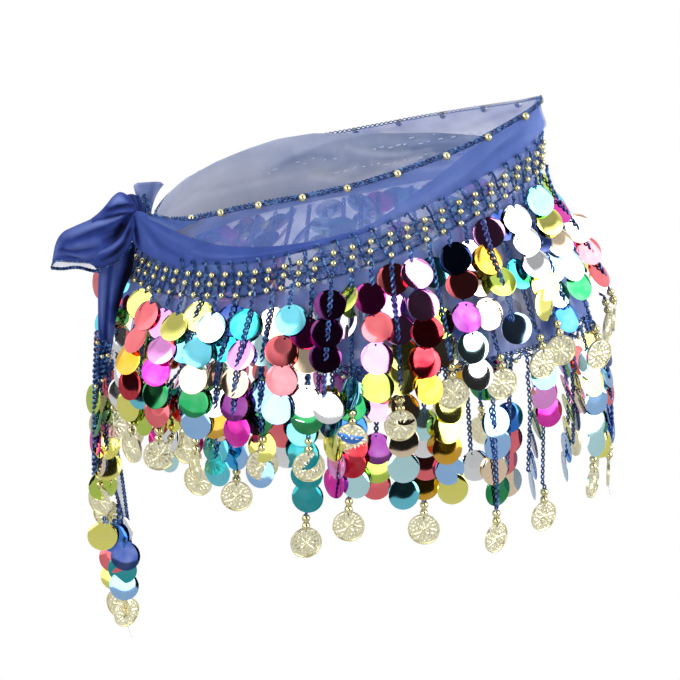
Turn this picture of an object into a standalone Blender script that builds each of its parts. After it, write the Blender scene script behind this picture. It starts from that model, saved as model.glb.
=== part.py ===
"""A belly dance hip scarf, worn slanted round the hips and knotted at its left.

A tapered chiffon scarf is wound round a general hip form: high at +X, low at -X, where its ends are tied.
Below its crocheted rim runs a net band with three ridges. Two tiers of fringe hang on it: the upper tier
from the net band, the lower one from the hem. Each strand is a flat lock with the outline of a chained cord,
its overlapping paillettes and, on every other strand, two end beads and a coin.

Metres, +Z up, -Y is the front. The origin is the middle of the hips inside the rim, where the wearer holds it.
Angles run anticlockwise seen from above, from +X: -180 is the knot, -90 the front, 0 the high side and
90 the back.
"""

import math
import random

import bmesh
import bpy
from mathutils import Vector

MM = 0.001

# The general hip form that the scarf is wound round: an ellipse at each height.
WAIST_HALF_WIDTH = 119 * MM
HIP_FLARE = 39 * MM
FLARE_TOP = 2 * MM
FLARE_HEIGHT = 130 * MM
DEPTH_RATIO = 0.70

CLOTH_THICK = 1.2 * MM
SEAM_GAP = 0.3 * MM
LAID_ON_GAP = 0.6 * MM
CLOTH_COLUMNS = 48
HEM_FOLD_DEPTH = 2.6 * MM
FOLDS_AROUND = 23

# Heights along the wrap, every 30 degrees: the rim, the net band's top row of beads, and the hem.
WRAP_STEP = 30
WRAP_COLUMNS = ("angle", "rim", "bead_row", "hem")
WRAP_ROWS = (
    (-180, -35, -58, -81),
    (-150, -28, -58, -84),
    (-120, -11, -51, -92),
    (-90, 4, -32, -101),
    (-60, 22, -10, -102),
    (-30, 37, 8, -98),
    (0, 40, 12, -97),
    (30, 28, 0, -99),
    (60, 14, -15, -103),
    (90, 0, -31, -106),
    (120, -10, -44, -102),
    (150, -23, -56, -90),
)

# The net band, from its top ticks to below its third row of beads.
NET_ABOVE_ROW = 6 * MM
NET_BELOW_ROW = 15.5 * MM
NET_THICK = 1.0 * MM
NET_RIDGE = 1.2 * MM
NET_COLUMNS = 32
NET_START, NET_MID, NET_END = -174, 0, 177

RIM_CORD_RADIUS = 1.5 * MM
RIM_CORD_SIDES = 5

# The fold-over's height above the net band, by angle.
FOLD_OVER_COLUMNS = ("angle", "height")
FOLD_OVER_ROWS = ((-168, 19), (-150, 16), (-138, 14), (-126, 11), (-114, 8), (-100, 4.5), (-84, 1.6))
FOLD_OVER_THICK = 1.2 * MM
FOLD_OVER_COUNT = 22

# Fringe. The strands of a tier hang in two layers, so that each is as wide as its paillettes.
UPPER_PITCH = 11.5 * MM
HEM_PITCH = 13.5 * MM
STRIP_HEIGHT = 2.6 * MM
STRIP_THICK = 1.6 * MM
ROOT_HALF_WIDTH = 1.2 * MM
LAYER_STEP = 4.5 * MM
UPPER_STRIP_OUT = 1.2 * MM
UPPER_LAYER_OUT = 10.0 * MM
HEM_LAYER_OUT = 0.4 * MM
SPREAD_DROP = 16 * MM
LENGTH_SPREAD = 0.09
UPPER_FRONT, UPPER_BACK = (-157, -2.5), (2.5, 177)
HEM_FRONT, HEM_BACK = (-143, -2.5), (2.5, 166)
UPPER_DROP = 112 * MM
HEM_DROP = 122 * MM

# The coins across the front: angle, height. Round the back, every other strand has one.
UPPER_COINS = (
    (-148, -171), (-139, -169), (-131, -162), (-123, -170), (-110, -165), (-102, -164), (-91, -145),
    (-77, -137), (-68, -119), (-58, -117), (-46, -110), (-34, -103), (-21, -114), (-10, -101),
)
HEM_COINS = (
    (-130, -185), (-117, -191), (-99, -216), (-87, -204), (-74, -210), (-60, -220), (-40, -216), (-22, -205),
    (-5, -208),
)

# A strand from its root down: share of its drop, width, thickness. The coin's middle is at COIN_SHARE.
COIN_SHARE = 0.915
CHAIN_AND_PAILLETTES = (
    (0.09, 2.4, 1.6),
    (0.14, 12, 2.2),
    (0.24, 19.5, 2.6),
    (0.44, 17, 2.8),
    (0.62, 19.5, 2.8),
    (0.70, 9, 2.4),
)
BEADS_AND_COIN = (
    (0.74, 4.5, 2.8),
    (0.82, 4.5, 2.8),
    (0.85, 12, 2.0),
    (COIN_SHARE, 20, 2.0),
    (0.985, 10, 2.0),
)

KNOT_ANGLE = -168
KNOT_HEIGHT = -31 * MM
KNOT_OUT = 18 * MM
KNOT_HALF_SIZES = Vector((14, 12, 19)) * MM
KNOT_RINGS, KNOT_SIDES = 12, 20
KNOT_LOBES = 3
KNOT_CREASE = 0.08
KNOT_CLEARANCE = 0.4 * MM

# A tie end is a flattened, flared tube of cloth, from the knot out: x and z of its left edge, x and z of
# its right edge, y of its middle, thickness.
LOW_END_ROWS = (
    (-143, -20, -140, -38, -27, 10),
    (-152, -19, -142, -46, -33, 13),
    (-164.5, -28, -146.5, -51.5, -38, 14),
    (-178, -35, -150.5, -55.5, -40, 13),
    (-187, -43, -153.5, -58.5, -40, 10),
    (-190.5, -58, -155.5, -61.5, -39, 6),
)
TOP_END_ROWS = (
    (-139, -33, -129, -32, -18, 6),
    (-139, -25, -128, -24, -16, 6.5),
    (-140, -18, -124.5, -17.5, -14, 6.5),
    (-140.5, -12, -121, -12, -13, 5.6),
)
END_SIDES = 12
END_WALL = 1.2 * MM
END_PUCKER = 0.10

# The tail hangs clear of the wrap, then leans in below it: z, x of its left edge, x of its right edge, y,
# fold depth.
TAIL_ROWS = (
    (-38, -150, -140, -27, 3.0),
    (-58, -160, -147, -30, 3.5),
    (-80, -164, -149, -29, 3.5),
    (-110, -166, -152, -28, 3.0),
    (-145, -167, -156, -26, 2.5),
    (-183, -160, -150.5, -26, 2.0),
    (-216, -154, -146, -26, 1.5),
    (-249, -149, -143, -26, 1.0),
    (-274, -145.5, -141.5, -26, 0.6),
)
TAIL_THICK = 1.4 * MM
TAIL_ACROSS = 6
TAIL_STRANDS = 6
TAIL_FRINGE_TOP, TAIL_FRINGE_BOTTOM = -118 * MM, -262 * MM
TAIL_DROP = 46 * MM
TAIL_LAYER_OUT = 6.0 * MM
TAIL_ROOT_OUT, TAIL_LOCK_OUT = 4.6 * MM, -2.0 * MM
TAIL_SPREAD_DROP = 14 * MM
TAIL_LOCK_WIDTH = 0.8

COLOURS = {
    "chiffon": ((0.06, 0.12, 0.52, 1), 0.75, 0.0),
    "crochet": ((0.03, 0.09, 0.36, 1), 0.5, 0.2),
    "paillette": ((0.55, 0.55, 0.65, 1), 0.15, 1.0),
}


def clear_scene():
    for old in list(bpy.data.objects):
        bpy.data.objects.remove(old, do_unlink=True)


def material(name):
    made = bpy.data.materials.get(name)
    if made is None:
        colour, roughness, metallic = COLOURS[name]
        made = bpy.data.materials.new(name)
        made.use_nodes = True
        shader = made.node_tree.nodes["Principled BSDF"]
        shader.inputs["Base Color"].default_value = colour
        shader.inputs["Roughness"].default_value = roughness
        shader.inputs["Metallic"].default_value = metallic
    return made


def smooth(t):
    t = min(max(t, 0.0), 1.0)
    return t * t * (3 - 2 * t)


def spread(low, high, count):
    """count values from low to high, both included."""
    return [low + (high - low) * i / (count - 1) for i in range(count)]


def catmull(before, start, end, after, t):
    """A smooth curve through start and end, for numbers and vectors."""
    return start + (
        (end - before) * t
        + (before * 2 - start * 5 + end * 4 - after) * t ** 2
        + (start * 3 - before - end * 3 + after) * t ** 3
    ) * 0.5


def wrap_height(column, angle):
    """A height of the wrap at an angle, in metres."""
    k = WRAP_COLUMNS.index(column)
    place = (angle - WRAP_ROWS[0][0]) / WRAP_STEP
    i = math.floor(place)
    near = [WRAP_ROWS[(i + j) % len(WRAP_ROWS)][k] for j in (-1, 0, 1, 2)]
    return catmull(*near, place - i) * MM


def table_value(rows, columns, column, at):
    """A column of a table read at a value of its first column, on straight runs."""
    k = columns.index(column)
    for low, high in zip(rows, rows[1:]):
        if at <= high[0]:
            break
    share = (at - low[0]) / (high[0] - low[0])
    return low[k] + (high[k] - low[k]) * share


def net_top(angle):
    return wrap_height("bead_row", angle) + NET_ABOVE_ROW


def net_bottom(angle):
    return wrap_height("bead_row", angle) - NET_BELOW_ROW


def half_width(z):
    return WAIST_HALF_WIDTH + HIP_FLARE * smooth((FLARE_TOP - z) / FLARE_HEIGHT)


def directions(angle, z):
    """The level directions along the wrap and out from it."""
    turn = math.radians(angle)
    a = half_width(z)
    b = a * DEPTH_RATIO
    along = Vector((-a * math.sin(turn), b * math.cos(turn), 0)).normalized()
    return along, Vector((along.y, -along.x, 0))


def form_point(angle, z, out=0.0):
    """A point of the hip form, moved out from it."""
    turn = math.radians(angle)
    a = half_width(z)
    _, outward = directions(angle, z)
    return Vector((a * math.cos(turn), a * DEPTH_RATIO * math.sin(turn), z)) + outward * out


def degrees_along(length, angle, z):
    """How many degrees of the wrap a length spans at an angle."""
    return length / (form_point(angle + 0.5, z) - form_point(angle - 0.5, z)).length


def fold_out(angle, z):
    """How far the cloth's soft hem folds stand out or in: none at the net band, most at the hem."""
    low = net_bottom(angle)
    share = smooth((low - z) / (low - wrap_height("hem", angle)))
    turn = math.radians(angle)
    phase = FOLDS_AROUND * turn + 0.9 * math.sin(3 * turn + 0.5) + 0.6 * math.sin(5 * turn)
    depth = HEM_FOLD_DEPTH * (0.75 + 0.25 * math.sin(4 * turn + 1.1))
    return share * depth * math.sin(phase)


def cloth_point(angle, z, out=0.0):
    """A point of the cloth's outer face, moved out from it."""
    return form_point(angle, z, fold_out(angle, z) + out)


def finish(name, bm, look):
    """Turns a bmesh into the named object."""
    bmesh.ops.recalc_face_normals(bm, faces=bm.faces)
    mesh = bpy.data.meshes.new(name)
    bm.to_mesh(mesh)
    bm.free()
    mesh.shade_smooth()
    mesh.set_sharp_from_angle(angle=math.radians(50))
    mesh.materials.append(material(look))
    made = bpy.data.objects.new(name, mesh)
    bpy.context.scene.collection.objects.link(made)
    return made


def join_rings(bm, rings):
    """Faces between rings of as many points each."""
    for low, high in zip(rings, rings[1:]):
        for i in range(len(low)):
            j = (i + 1) % len(low)
            bm.faces.new((low[i], low[j], high[j], high[i]))


def loft(name, sections, look):
    """One closed body through closed sections of as many points each."""
    bm = bmesh.new()
    rings = [[bm.verts.new(p) for p in section] for section in sections]
    join_rings(bm, rings)
    bm.faces.new(rings[0])
    bm.faces.new(rings[-1])
    return finish(name, bm, look)


def stretch_angles(start, end, count):
    """The columns of a stretch of cloth, parted from the next by the seam gap."""
    gap = math.degrees(SEAM_GAP / 2 / WAIST_HALF_WIDTH)
    return spread(start + gap, end - gap, count + 1)


def cloth_heights(angle):
    """The cloth's rows at an angle: two in the margin, three on the net band, and the rest down to the hem."""
    rim, hem = wrap_height("rim", angle), wrap_height("hem", angle)
    top, bottom = net_top(angle), net_bottom(angle)
    margin = [rim, (rim + top) / 2]
    skirt = spread(bottom, hem, 4)[1:]
    return [*margin, top, (top + bottom) / 2, bottom, *skirt]


def cloth(name, start, end):
    """A stretch of the scarf's body: a thin wall from the rim to the hem."""
    sections = []
    for angle in stretch_angles(start, end, CLOTH_COLUMNS):
        heights = cloth_heights(angle)
        outer = [cloth_point(angle, z) for z in heights]
        inner = [cloth_point(angle, z, -CLOTH_THICK) for z in reversed(heights)]
        sections.append(outer + inner)
    return loft(name, sections, "chiffon")


def rim_edging(name, start, end):
    """The crocheted cord along the rim."""
    sections = []
    lift = RIM_CORD_RADIUS + SEAM_GAP
    for angle in stretch_angles(start, end, CLOTH_COLUMNS):
        z = wrap_height("rim", angle) + lift
        _, outward = directions(angle, z)
        middle = form_point(angle, z - lift, -CLOTH_THICK / 2) + Vector((0, 0, lift))
        section = []
        for i in range(RIM_CORD_SIDES):
            turn = math.tau * i / RIM_CORD_SIDES - math.pi / 2 / RIM_CORD_SIDES
            reach = outward * math.cos(turn) + Vector((0, 0, math.sin(turn)))
            section.append(middle + reach * RIM_CORD_RADIUS * 0.98)
        sections.append(section)
    return loft(name, sections, "crochet")


def net_band(name, start, end):
    """The net band, laid on the cloth, with a ridge for each of its three rows of beads."""
    profile = ((0.0, 0.4), (0.28, 1.0), (0.44, 0.3), (0.57, 1.0), (0.71, 0.3), (0.84, 1.0), (1.0, 0.4))
    sections = []
    for angle in spread(start, end, NET_COLUMNS + 1):
        top, bottom = net_top(angle), net_bottom(angle)
        outer = [
            form_point(angle, top + (bottom - top) * down, LAID_ON_GAP + NET_THICK + NET_RIDGE * rise)
            for down, rise in profile
        ]
        inner = [form_point(angle, z, LAID_ON_GAP) for z in (bottom, (top + bottom) / 2, top)]
        sections.append(outer + inner)
    return loft(name, sections, "crochet")


def fold_over():
    """The doubled stretch across the front, drawn up to the knot."""
    start, end = FOLD_OVER_ROWS[0][0], FOLD_OVER_ROWS[-1][0]
    sections = []
    for angle in spread(start, end, FOLD_OVER_COUNT):
        low = net_top(angle) + SEAM_GAP
        high = low + table_value(FOLD_OVER_ROWS, FOLD_OVER_COLUMNS, "height", angle) * MM
        heights = (low, (low + high) / 2, high)
        swell = (0.8, 1.6, 1.0)
        outer = [form_point(angle, z, LAID_ON_GAP + FOLD_OVER_THICK * s) for z, s in zip(heights, swell)]
        inner = [form_point(angle, z, LAID_ON_GAP) for z in reversed(heights)]
        sections.append(outer + inner)
    return loft("fold_over_front", sections, "chiffon")


def even_angles(start, end, pitch, height):
    """Angles an even pitch apart along the wrap at the height of an edge."""
    fine = spread(start, end, 600)
    points = [form_point(angle, height(angle)) for angle in fine]
    travelled = [0.0]
    for a, b in zip(points, points[1:]):
        travelled.append(travelled[-1] + (b.xy - a.xy).length)
    count = int(travelled[-1] / pitch)
    found = []
    for i in range(count):
        target = travelled[-1] * (i + 0.5) / count
        found.append(next(fine[k] for k, s in enumerate(travelled) if s >= target))
    return found


def lock_sections(profile, drop, place, frame):
    """The four corners of each section of a strand, top to bottom.

    place gives a section's middle from how far down it is, and frame its directions along and out.
    """
    along, outward = frame
    sections = []
    for share, width, thick in profile:
        middle = place(share * drop)
        half, deep = along * width * MM / 2, outward * thick * MM / 2
        sections.append([middle - half + deep, middle + half + deep, middle + half - deep, middle - half - deep])
    return sections


def fringe(name, columns, locks):
    """A narrow strip with a strand fused under each pair of its columns.

    columns holds the strip's sections, each of outer top, outer bottom, inner bottom and inner top.
    locks holds each strand's sections.
    """
    bm = bmesh.new()
    strip = [[bm.verts.new(p) for p in column] for column in columns]
    bm.faces.new(strip[0])
    bm.faces.new(strip[-1])
    for i, (here, after) in enumerate(zip(strip, strip[1:])):
        for j in (0, 2, 3):
            k = (j + 1) % 4
            bm.faces.new((here[j], here[k], after[k], after[j]))
        if i % 2:
            bm.faces.new((here[1], here[2], after[2], after[1]))
            continue
        root = [here[1], after[1], after[2], here[2]]
        rings = [root] + [[bm.verts.new(p) for p in section] for section in locks[i // 2]]
        join_rings(bm, rings)
        bm.faces.new(rings[-1])
    return finish(name, bm, "paillette")


def coin_strands(angles, coins):
    """The height of its coin for each strand that has one: each coin hangs on the strand nearest to it."""
    found = {}
    for angle, height in coins:
        nearest = min(range(len(angles)), key=lambda i: abs(angles[i] - angle))
        found[nearest] = height * MM
    return found


def tier(name, reach, pitch, top, strip_out, layer_out, drop, coins, seed):
    """A stretch of fringe round the wrap. top is the strip's upper edge and strip_out its inner face."""
    dice = random.Random(seed)
    angles = even_angles(*reach, pitch, top)
    hung = coin_strands(angles, coins)
    columns, locks = [], []
    for i, angle in enumerate(angles):
        z = top(angle)
        along, outward = directions(angle, z)
        turn = degrees_along(ROOT_HALF_WIDTH, angle, z)
        for at in (angle - turn, angle + turn):
            edge, inner = top(at), strip_out(at)
            outer, low = inner + STRIP_THICK, edge - STRIP_HEIGHT
            corners = ((outer, edge), (outer, low), (inner, low), (inner, edge))
            columns.append([form_point(at, height, out) for out, height in corners])
        root_z = z - STRIP_HEIGHT
        root_out = strip_out(angle) + STRIP_THICK / 2
        layer = layer_out + STRIP_THICK / 2 + LAYER_STEP * (i % 2)
        length = drop * (1 + LENGTH_SPREAD * dice.uniform(-1, 1)) - STRIP_HEIGHT
        if i in hung:
            length = (root_z - hung[i]) / COIN_SHARE
        has_coin = i in hung or (not coins and i % 2 == 0)
        profile = CHAIN_AND_PAILLETTES + (BEADS_AND_COIN if has_coin else ())

        def place(down):
            out = root_out + (layer - root_out) * smooth(down / SPREAD_DROP)
            return form_point(angle, root_z - down, out)

        locks.append(lock_sections(profile, length, place, (along, outward)))
    return fringe(name, columns, locks)


def upper_tier(name, reach, coins, seed):
    def top(angle):
        return net_bottom(angle) - SEAM_GAP

    def strip_out(_):
        return UPPER_STRIP_OUT

    return tier(name, reach, UPPER_PITCH, top, strip_out, UPPER_LAYER_OUT, UPPER_DROP, coins, seed)


def hem_tier(name, reach, coins, seed):
    def top(angle):
        return wrap_height("hem", angle) - LAID_ON_GAP

    def strip_out(angle):
        return fold_out(angle, wrap_height("hem", angle)) - (STRIP_THICK + CLOTH_THICK) / 2

    return tier(name, reach, HEM_PITCH, top, strip_out, HEM_LAYER_OUT, HEM_DROP, coins, seed)


def knot_body(name, grow, look):
    """The knot: a rounded body with the creases of the cloth that is drawn round it."""
    middle = form_point(KNOT_ANGLE, KNOT_HEIGHT, KNOT_OUT)
    along, outward = directions(KNOT_ANGLE, KNOT_HEIGHT)
    bm = bmesh.new()
    rings = []
    for i in range(1, KNOT_RINGS):
        fall = math.pi * i / KNOT_RINGS
        ring = []
        for j in range(KNOT_SIDES):
            turn = math.tau * j / KNOT_SIDES
            crease = 1 + KNOT_CREASE * math.sin(KNOT_LOBES * turn + 2.2 * fall)
            level = math.sin(fall) * crease
            ring.append(bm.verts.new(
                middle
                + outward * (KNOT_HALF_SIZES.x + grow) * level * math.cos(turn)
                + along * (KNOT_HALF_SIZES.y + grow) * level * math.sin(turn)
                + Vector((0, 0, (KNOT_HALF_SIZES.z + grow) * math.cos(fall)))
            ))
        rings.append(ring)
    join_rings(bm, rings)
    for ring, side in ((rings[0], 1), (rings[-1], -1)):
        pole = bm.verts.new(middle + Vector((0, 0, side * (KNOT_HALF_SIZES.z + grow))))
        for i in range(KNOT_SIDES):
            bm.faces.new((ring[i], ring[(i + 1) % KNOT_SIDES], pole))
    return finish(name, bm, look)


def cut_clear(piece, cutter):
    """Ends a piece just short of the knot."""
    cut = piece.modifiers.new("clear_of_knot", "BOOLEAN")
    cut.operation = "DIFFERENCE"
    cut.object = cutter


def end_section(row, inset, thin):
    """A closed flat section of a tie end, puckered along its faces."""
    left_x, left_z, right_x, right_z, y, thick = (value * MM for value in row)
    left, right = Vector((left_x, y, left_z)), Vector((right_x, y, right_z))
    middle, half = (left + right) / 2, (left - right) / 2
    half = half.normalized() * (half.length - inset)
    deep = Vector((0, -1, 0)) * (thick / 2 - thin)
    section = []
    for i in range(END_SIDES):
        turn = math.tau * i / END_SIDES
        pucker = 1 + END_PUCKER * math.sin(3 * turn)
        section.append(middle + half * math.cos(turn) + deep * math.sin(turn) * pucker)
    return section


def tie_end(name, rows, pocket, cutter):
    """A flared end of the scarf, folded double: open at its free end as deep as pocket rows."""
    bm = bmesh.new()
    outside = [[bm.verts.new(p) for p in end_section(row, 0, 0)] for row in rows]
    inside = [[bm.verts.new(p) for p in end_section(row, END_WALL, END_WALL)] for row in rows[-pocket:]]
    join_rings(bm, outside + inside[::-1])
    bm.faces.new(outside[0])
    bm.faces.new(inside[0])
    made = finish(name, bm, "chiffon")
    cut_clear(made, cutter)
    return made


def tail_edge(z):
    """x and y of the tail's left edge at a height, in metres."""
    for high, low in zip(TAIL_ROWS, TAIL_ROWS[1:]):
        if z > low[0] * MM:
            break
    share = (high[0] * MM - z) / ((high[0] - low[0]) * MM)
    return [(high[k] + (low[k] - high[k]) * share) * MM for k in (1, 3)]


def tie_tail(cutter):
    """The long end that hangs from the knot, tapered, with soft folds along it."""
    sections = []
    for z, left, right, y, fold in TAIL_ROWS:
        front, back = [], []
        for i in range(TAIL_ACROSS + 1):
            across = i / TAIL_ACROSS
            x = (left + (right - left) * across) * MM
            wave = math.cos(across * math.tau * 1.5) * fold * MM / 2
            front.append(Vector((x, y * MM + wave - TAIL_THICK / 2, z * MM)))
            back.append(Vector((x, y * MM + wave + TAIL_THICK / 2, z * MM)))
        sections.append(front + back[::-1])
    made = loft("tie_tail", sections, "chiffon")
    cut_clear(made, cutter)
    return made


def tail_fringe():
    """Strands along the tail's outer edge, in front of it and behind it by turns."""
    dice = random.Random(7)
    columns, locks = [], []
    for i, z in enumerate(spread(TAIL_FRINGE_TOP, TAIL_FRINGE_BOTTOM, TAIL_STRANDS)):
        for at in (z + ROOT_HALF_WIDTH, z - ROOT_HALF_WIDTH):
            left, y = tail_edge(at)
            inner, outer = left - LAID_ON_GAP, left - LAID_ON_GAP - STRIP_THICK
            front, back = y - STRIP_THICK / 2, y + STRIP_THICK / 2
            corners = ((inner, back), (outer, back), (outer, front), (inner, front))
            columns.append([Vector((*corner, at)) for corner in corners])
        left, y = tail_edge(z)
        side = -1 if i % 2 == 0 else 1
        hang = TAIL_DROP * (1 + LENGTH_SPREAD * dice.uniform(-1, 1))
        lock = []
        for share, width, thick in CHAIN_AND_PAILLETTES + BEADS_AND_COIN:
            swing = smooth(share * hang / TAIL_SPREAD_DROP)
            out = TAIL_ROOT_OUT + (TAIL_LOCK_OUT - TAIL_ROOT_OUT) * swing
            middle = Vector((left - out, y + side * TAIL_LAYER_OUT, z - 4 * MM - share * hang))
            half, deep = Vector((width * TAIL_LOCK_WIDTH * MM / 2, 0, 0)), Vector((0, thick * MM / 2, 0))
            lock.append([middle - half + deep, middle + half + deep, middle + half - deep, middle - half - deep])
        locks.append(lock)
    return fringe("fringe_tail", columns, locks)


def main():
    clear_scene()
    cloth("cloth_front", -180, 0)
    cloth("cloth_back", 0, 180)
    rim_edging("rim_edging_front", -180, 0)
    rim_edging("rim_edging_back", 0, 180)
    gap = math.degrees(SEAM_GAP / WAIST_HALF_WIDTH)
    net_band("net_band_front", NET_START, NET_MID - gap)
    net_band("net_band_back", NET_MID + gap, NET_END)
    upper_tier("fringe_upper_front", UPPER_FRONT, UPPER_COINS, 1)
    upper_tier("fringe_upper_back", UPPER_BACK, (), 2)
    hem_tier("fringe_hem_front", HEM_FRONT, HEM_COINS, 3)
    hem_tier("fringe_hem_back", HEM_BACK, (), 4)
    knot_body("tie_knot", 0, "chiffon")
    cutter = knot_body("knot_clearance", KNOT_CLEARANCE, "chiffon")
    cutter.hide_render = True
    cutter.display_type = "WIRE"
    cut_clear(fold_over(), cutter)
    tie_end("tie_end_low", LOW_END_ROWS, 3, cutter)
    tie_end("tie_end_top", TOP_END_ROWS, 2, cutter)
    tie_tail(cutter)
    tail_fringe()


main()
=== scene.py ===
"""The looks of a belly dance hip scarf: chiffon, metallic crochet, gold beads, paillettes and coins.

Metres, +Z up, -Y is the front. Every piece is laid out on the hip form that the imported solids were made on:
the scarf is high at +X and knotted at -X. Angles run anticlockwise from +X, seen from above, so the front is
at -90 degrees.
"""

import math
import random

import bpy
import numpy as np
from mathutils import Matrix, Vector


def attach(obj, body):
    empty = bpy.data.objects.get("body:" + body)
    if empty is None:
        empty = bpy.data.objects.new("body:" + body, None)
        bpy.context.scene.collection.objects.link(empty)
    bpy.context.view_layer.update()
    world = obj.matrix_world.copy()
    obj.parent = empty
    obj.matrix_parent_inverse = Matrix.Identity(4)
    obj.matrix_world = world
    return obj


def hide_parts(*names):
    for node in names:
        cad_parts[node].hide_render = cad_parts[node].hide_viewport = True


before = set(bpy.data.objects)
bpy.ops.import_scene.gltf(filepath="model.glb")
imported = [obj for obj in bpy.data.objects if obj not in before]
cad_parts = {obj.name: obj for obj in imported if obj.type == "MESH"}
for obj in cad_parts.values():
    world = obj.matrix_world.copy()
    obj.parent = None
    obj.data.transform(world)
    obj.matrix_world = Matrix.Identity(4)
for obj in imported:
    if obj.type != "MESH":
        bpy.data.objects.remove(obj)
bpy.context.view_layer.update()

MM = 0.001
BODY = "root"
UP = np.array([0, 0, 1.0])
FRONT = np.array([0, -1.0, 0])

# The general hip form that the scarf is wound round: an ellipse at each height.
WAIST_HALF_WIDTH = 119 * MM
HIP_FLARE = 39 * MM
FLARE_TOP = 2 * MM
FLARE_HEIGHT = 130 * MM
DEPTH_RATIO = 0.70
CLOTH_THICK = 1.2 * MM
LAID_ON_GAP = 0.6 * MM
SEAM_GAP = 0.3 * MM

# Heights along the wrap, every 30 degrees: the rim, the net band's top row of beads, and the hem.
WRAP_STEP = 30
WRAP_COLUMNS = ("angle", "rim", "bead_row", "hem")
WRAP_ROWS = np.array((
    (-180, -35, -58, -81),
    (-150, -28, -58, -84),
    (-120, -11, -51, -92),
    (-90, 4, -32, -101),
    (-60, 22, -10, -102),
    (-30, 37, 8, -98),
    (0, 40, 12, -97),
    (30, 28, 0, -99),
    (60, 14, -15, -103),
    (90, 0, -31, -106),
    (120, -10, -44, -102),
    (150, -23, -56, -90),
), float)

NET_ABOVE_ROW = 6 * MM
NET_BELOW_ROW = 15.5 * MM

# Fringe layout, as in the solids: two tiers, each hung in two layers.
UPPER_PITCH = 11.5 * MM
HEM_PITCH = 13.5 * MM
STRIP_HEIGHT = 2.6 * MM
STRIP_THICK = 1.6 * MM
LAYER_STEP = 4.5 * MM
UPPER_STRIP_OUT = 1.2 * MM
UPPER_LAYER_OUT = 7.0 * MM
HEM_LAYER_OUT = 0.4 * MM
SPREAD_DROP = 42 * MM
LENGTH_SPREAD = 0.09
HEM_EDGING = (0.3, 1.7)  # how far below the hem the middles of its crochet rows are, in mm
SCALLOP_DROP = 4.2 * MM
UPPER_FRONT, UPPER_BACK = (-157, -2.5), (2.5, 177)
HEM_FRONT, HEM_BACK = (-143, -2.5), (2.5, 166)
UPPER_DROP = 112 * MM
HEM_DROP = 122 * MM
COIN_SHARE = 0.915
PAILLETTES_SHARE = 0.74

# The coins across the front: angle, height. Round the back, every other strand has one.
UPPER_COINS = (
    (-148, -171), (-139, -169), (-131, -162), (-123, -170), (-110, -165), (-102, -164), (-91, -145),
    (-77, -137), (-68, -119), (-58, -117), (-46, -110), (-34, -103), (-21, -114), (-10, -101),
)
HEM_COINS = (
    (-130, -185), (-117, -191), (-99, -216), (-87, -204), (-74, -210), (-60, -220), (-40, -216), (-22, -205),
    (-5, -208),
)

PAILLETTE_RADIUS = 10 * MM
PAILLETTE_PITCH = 13.5 * MM
COIN_RADIUS = 10 * MM
COIN_HOLE_UP = 8.4 * MM
BEAD_RADIUS = 2.05 * MM
END_BEAD_RADIUS = 2.7 * MM
RIM_BEAD_RADIUS = 2.5 * MM
HEM_BEAD_RADIUS = 1.5 * MM


# ---------------------------------------------------------------- the hip form

def smooth(t):
    t = np.clip(t, 0, 1)
    return t * t * (3 - 2 * t)


def wrap_height(column, angle):
    """A height of the wrap at an angle or an array of them, in metres, on a smooth closed curve."""
    values = WRAP_ROWS[:, WRAP_COLUMNS.index(column)]
    place = (np.asarray(angle, float) - WRAP_ROWS[0, 0]) / WRAP_STEP
    i = np.floor(place).astype(int)
    t = place - i
    before, start, end, after = (values[(i + j) % len(values)] for j in (-1, 0, 1, 2))
    return (start + 0.5 * (
        (end - before) * t
        + (2 * before - 5 * start + 4 * end - after) * t ** 2
        + (3 * start - before - 3 * end + after) * t ** 3
    )) * MM


def net_top(angle):
    return wrap_height("bead_row", angle) + NET_ABOVE_ROW


def net_bottom(angle):
    return wrap_height("bead_row", angle) - NET_BELOW_ROW


def half_width(z):
    return WAIST_HALF_WIDTH + HIP_FLARE * smooth((FLARE_TOP - z) / FLARE_HEIGHT)


def outward(angle, z):
    """The level direction out from the wrap."""
    turn = np.radians(angle)
    a = half_width(z)
    out = np.stack([DEPTH_RATIO * a * np.cos(turn), a * np.sin(turn), 0 * a * turn], -1)
    return out / np.linalg.norm(out, axis=-1, keepdims=True)


def form_point(angle, z, out=0.0):
    """Points of the hip form, moved out from it."""
    angle, z, out = np.broadcast_arrays(*(np.asarray(value, float) for value in (angle, z, out)))
    turn = np.radians(angle)
    a = half_width(z)
    base = np.stack([a * np.cos(turn), a * DEPTH_RATIO * np.sin(turn), z], -1)
    return base + outward(angle, z) * out[..., None]


# ---------------------------------------------------------------- meshes

def placed(name, data):
    """An object in the scene, from its mesh, lamp or camera."""
    made = bpy.data.objects.new(name, data)
    bpy.context.scene.collection.objects.link(made)
    return made


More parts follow.
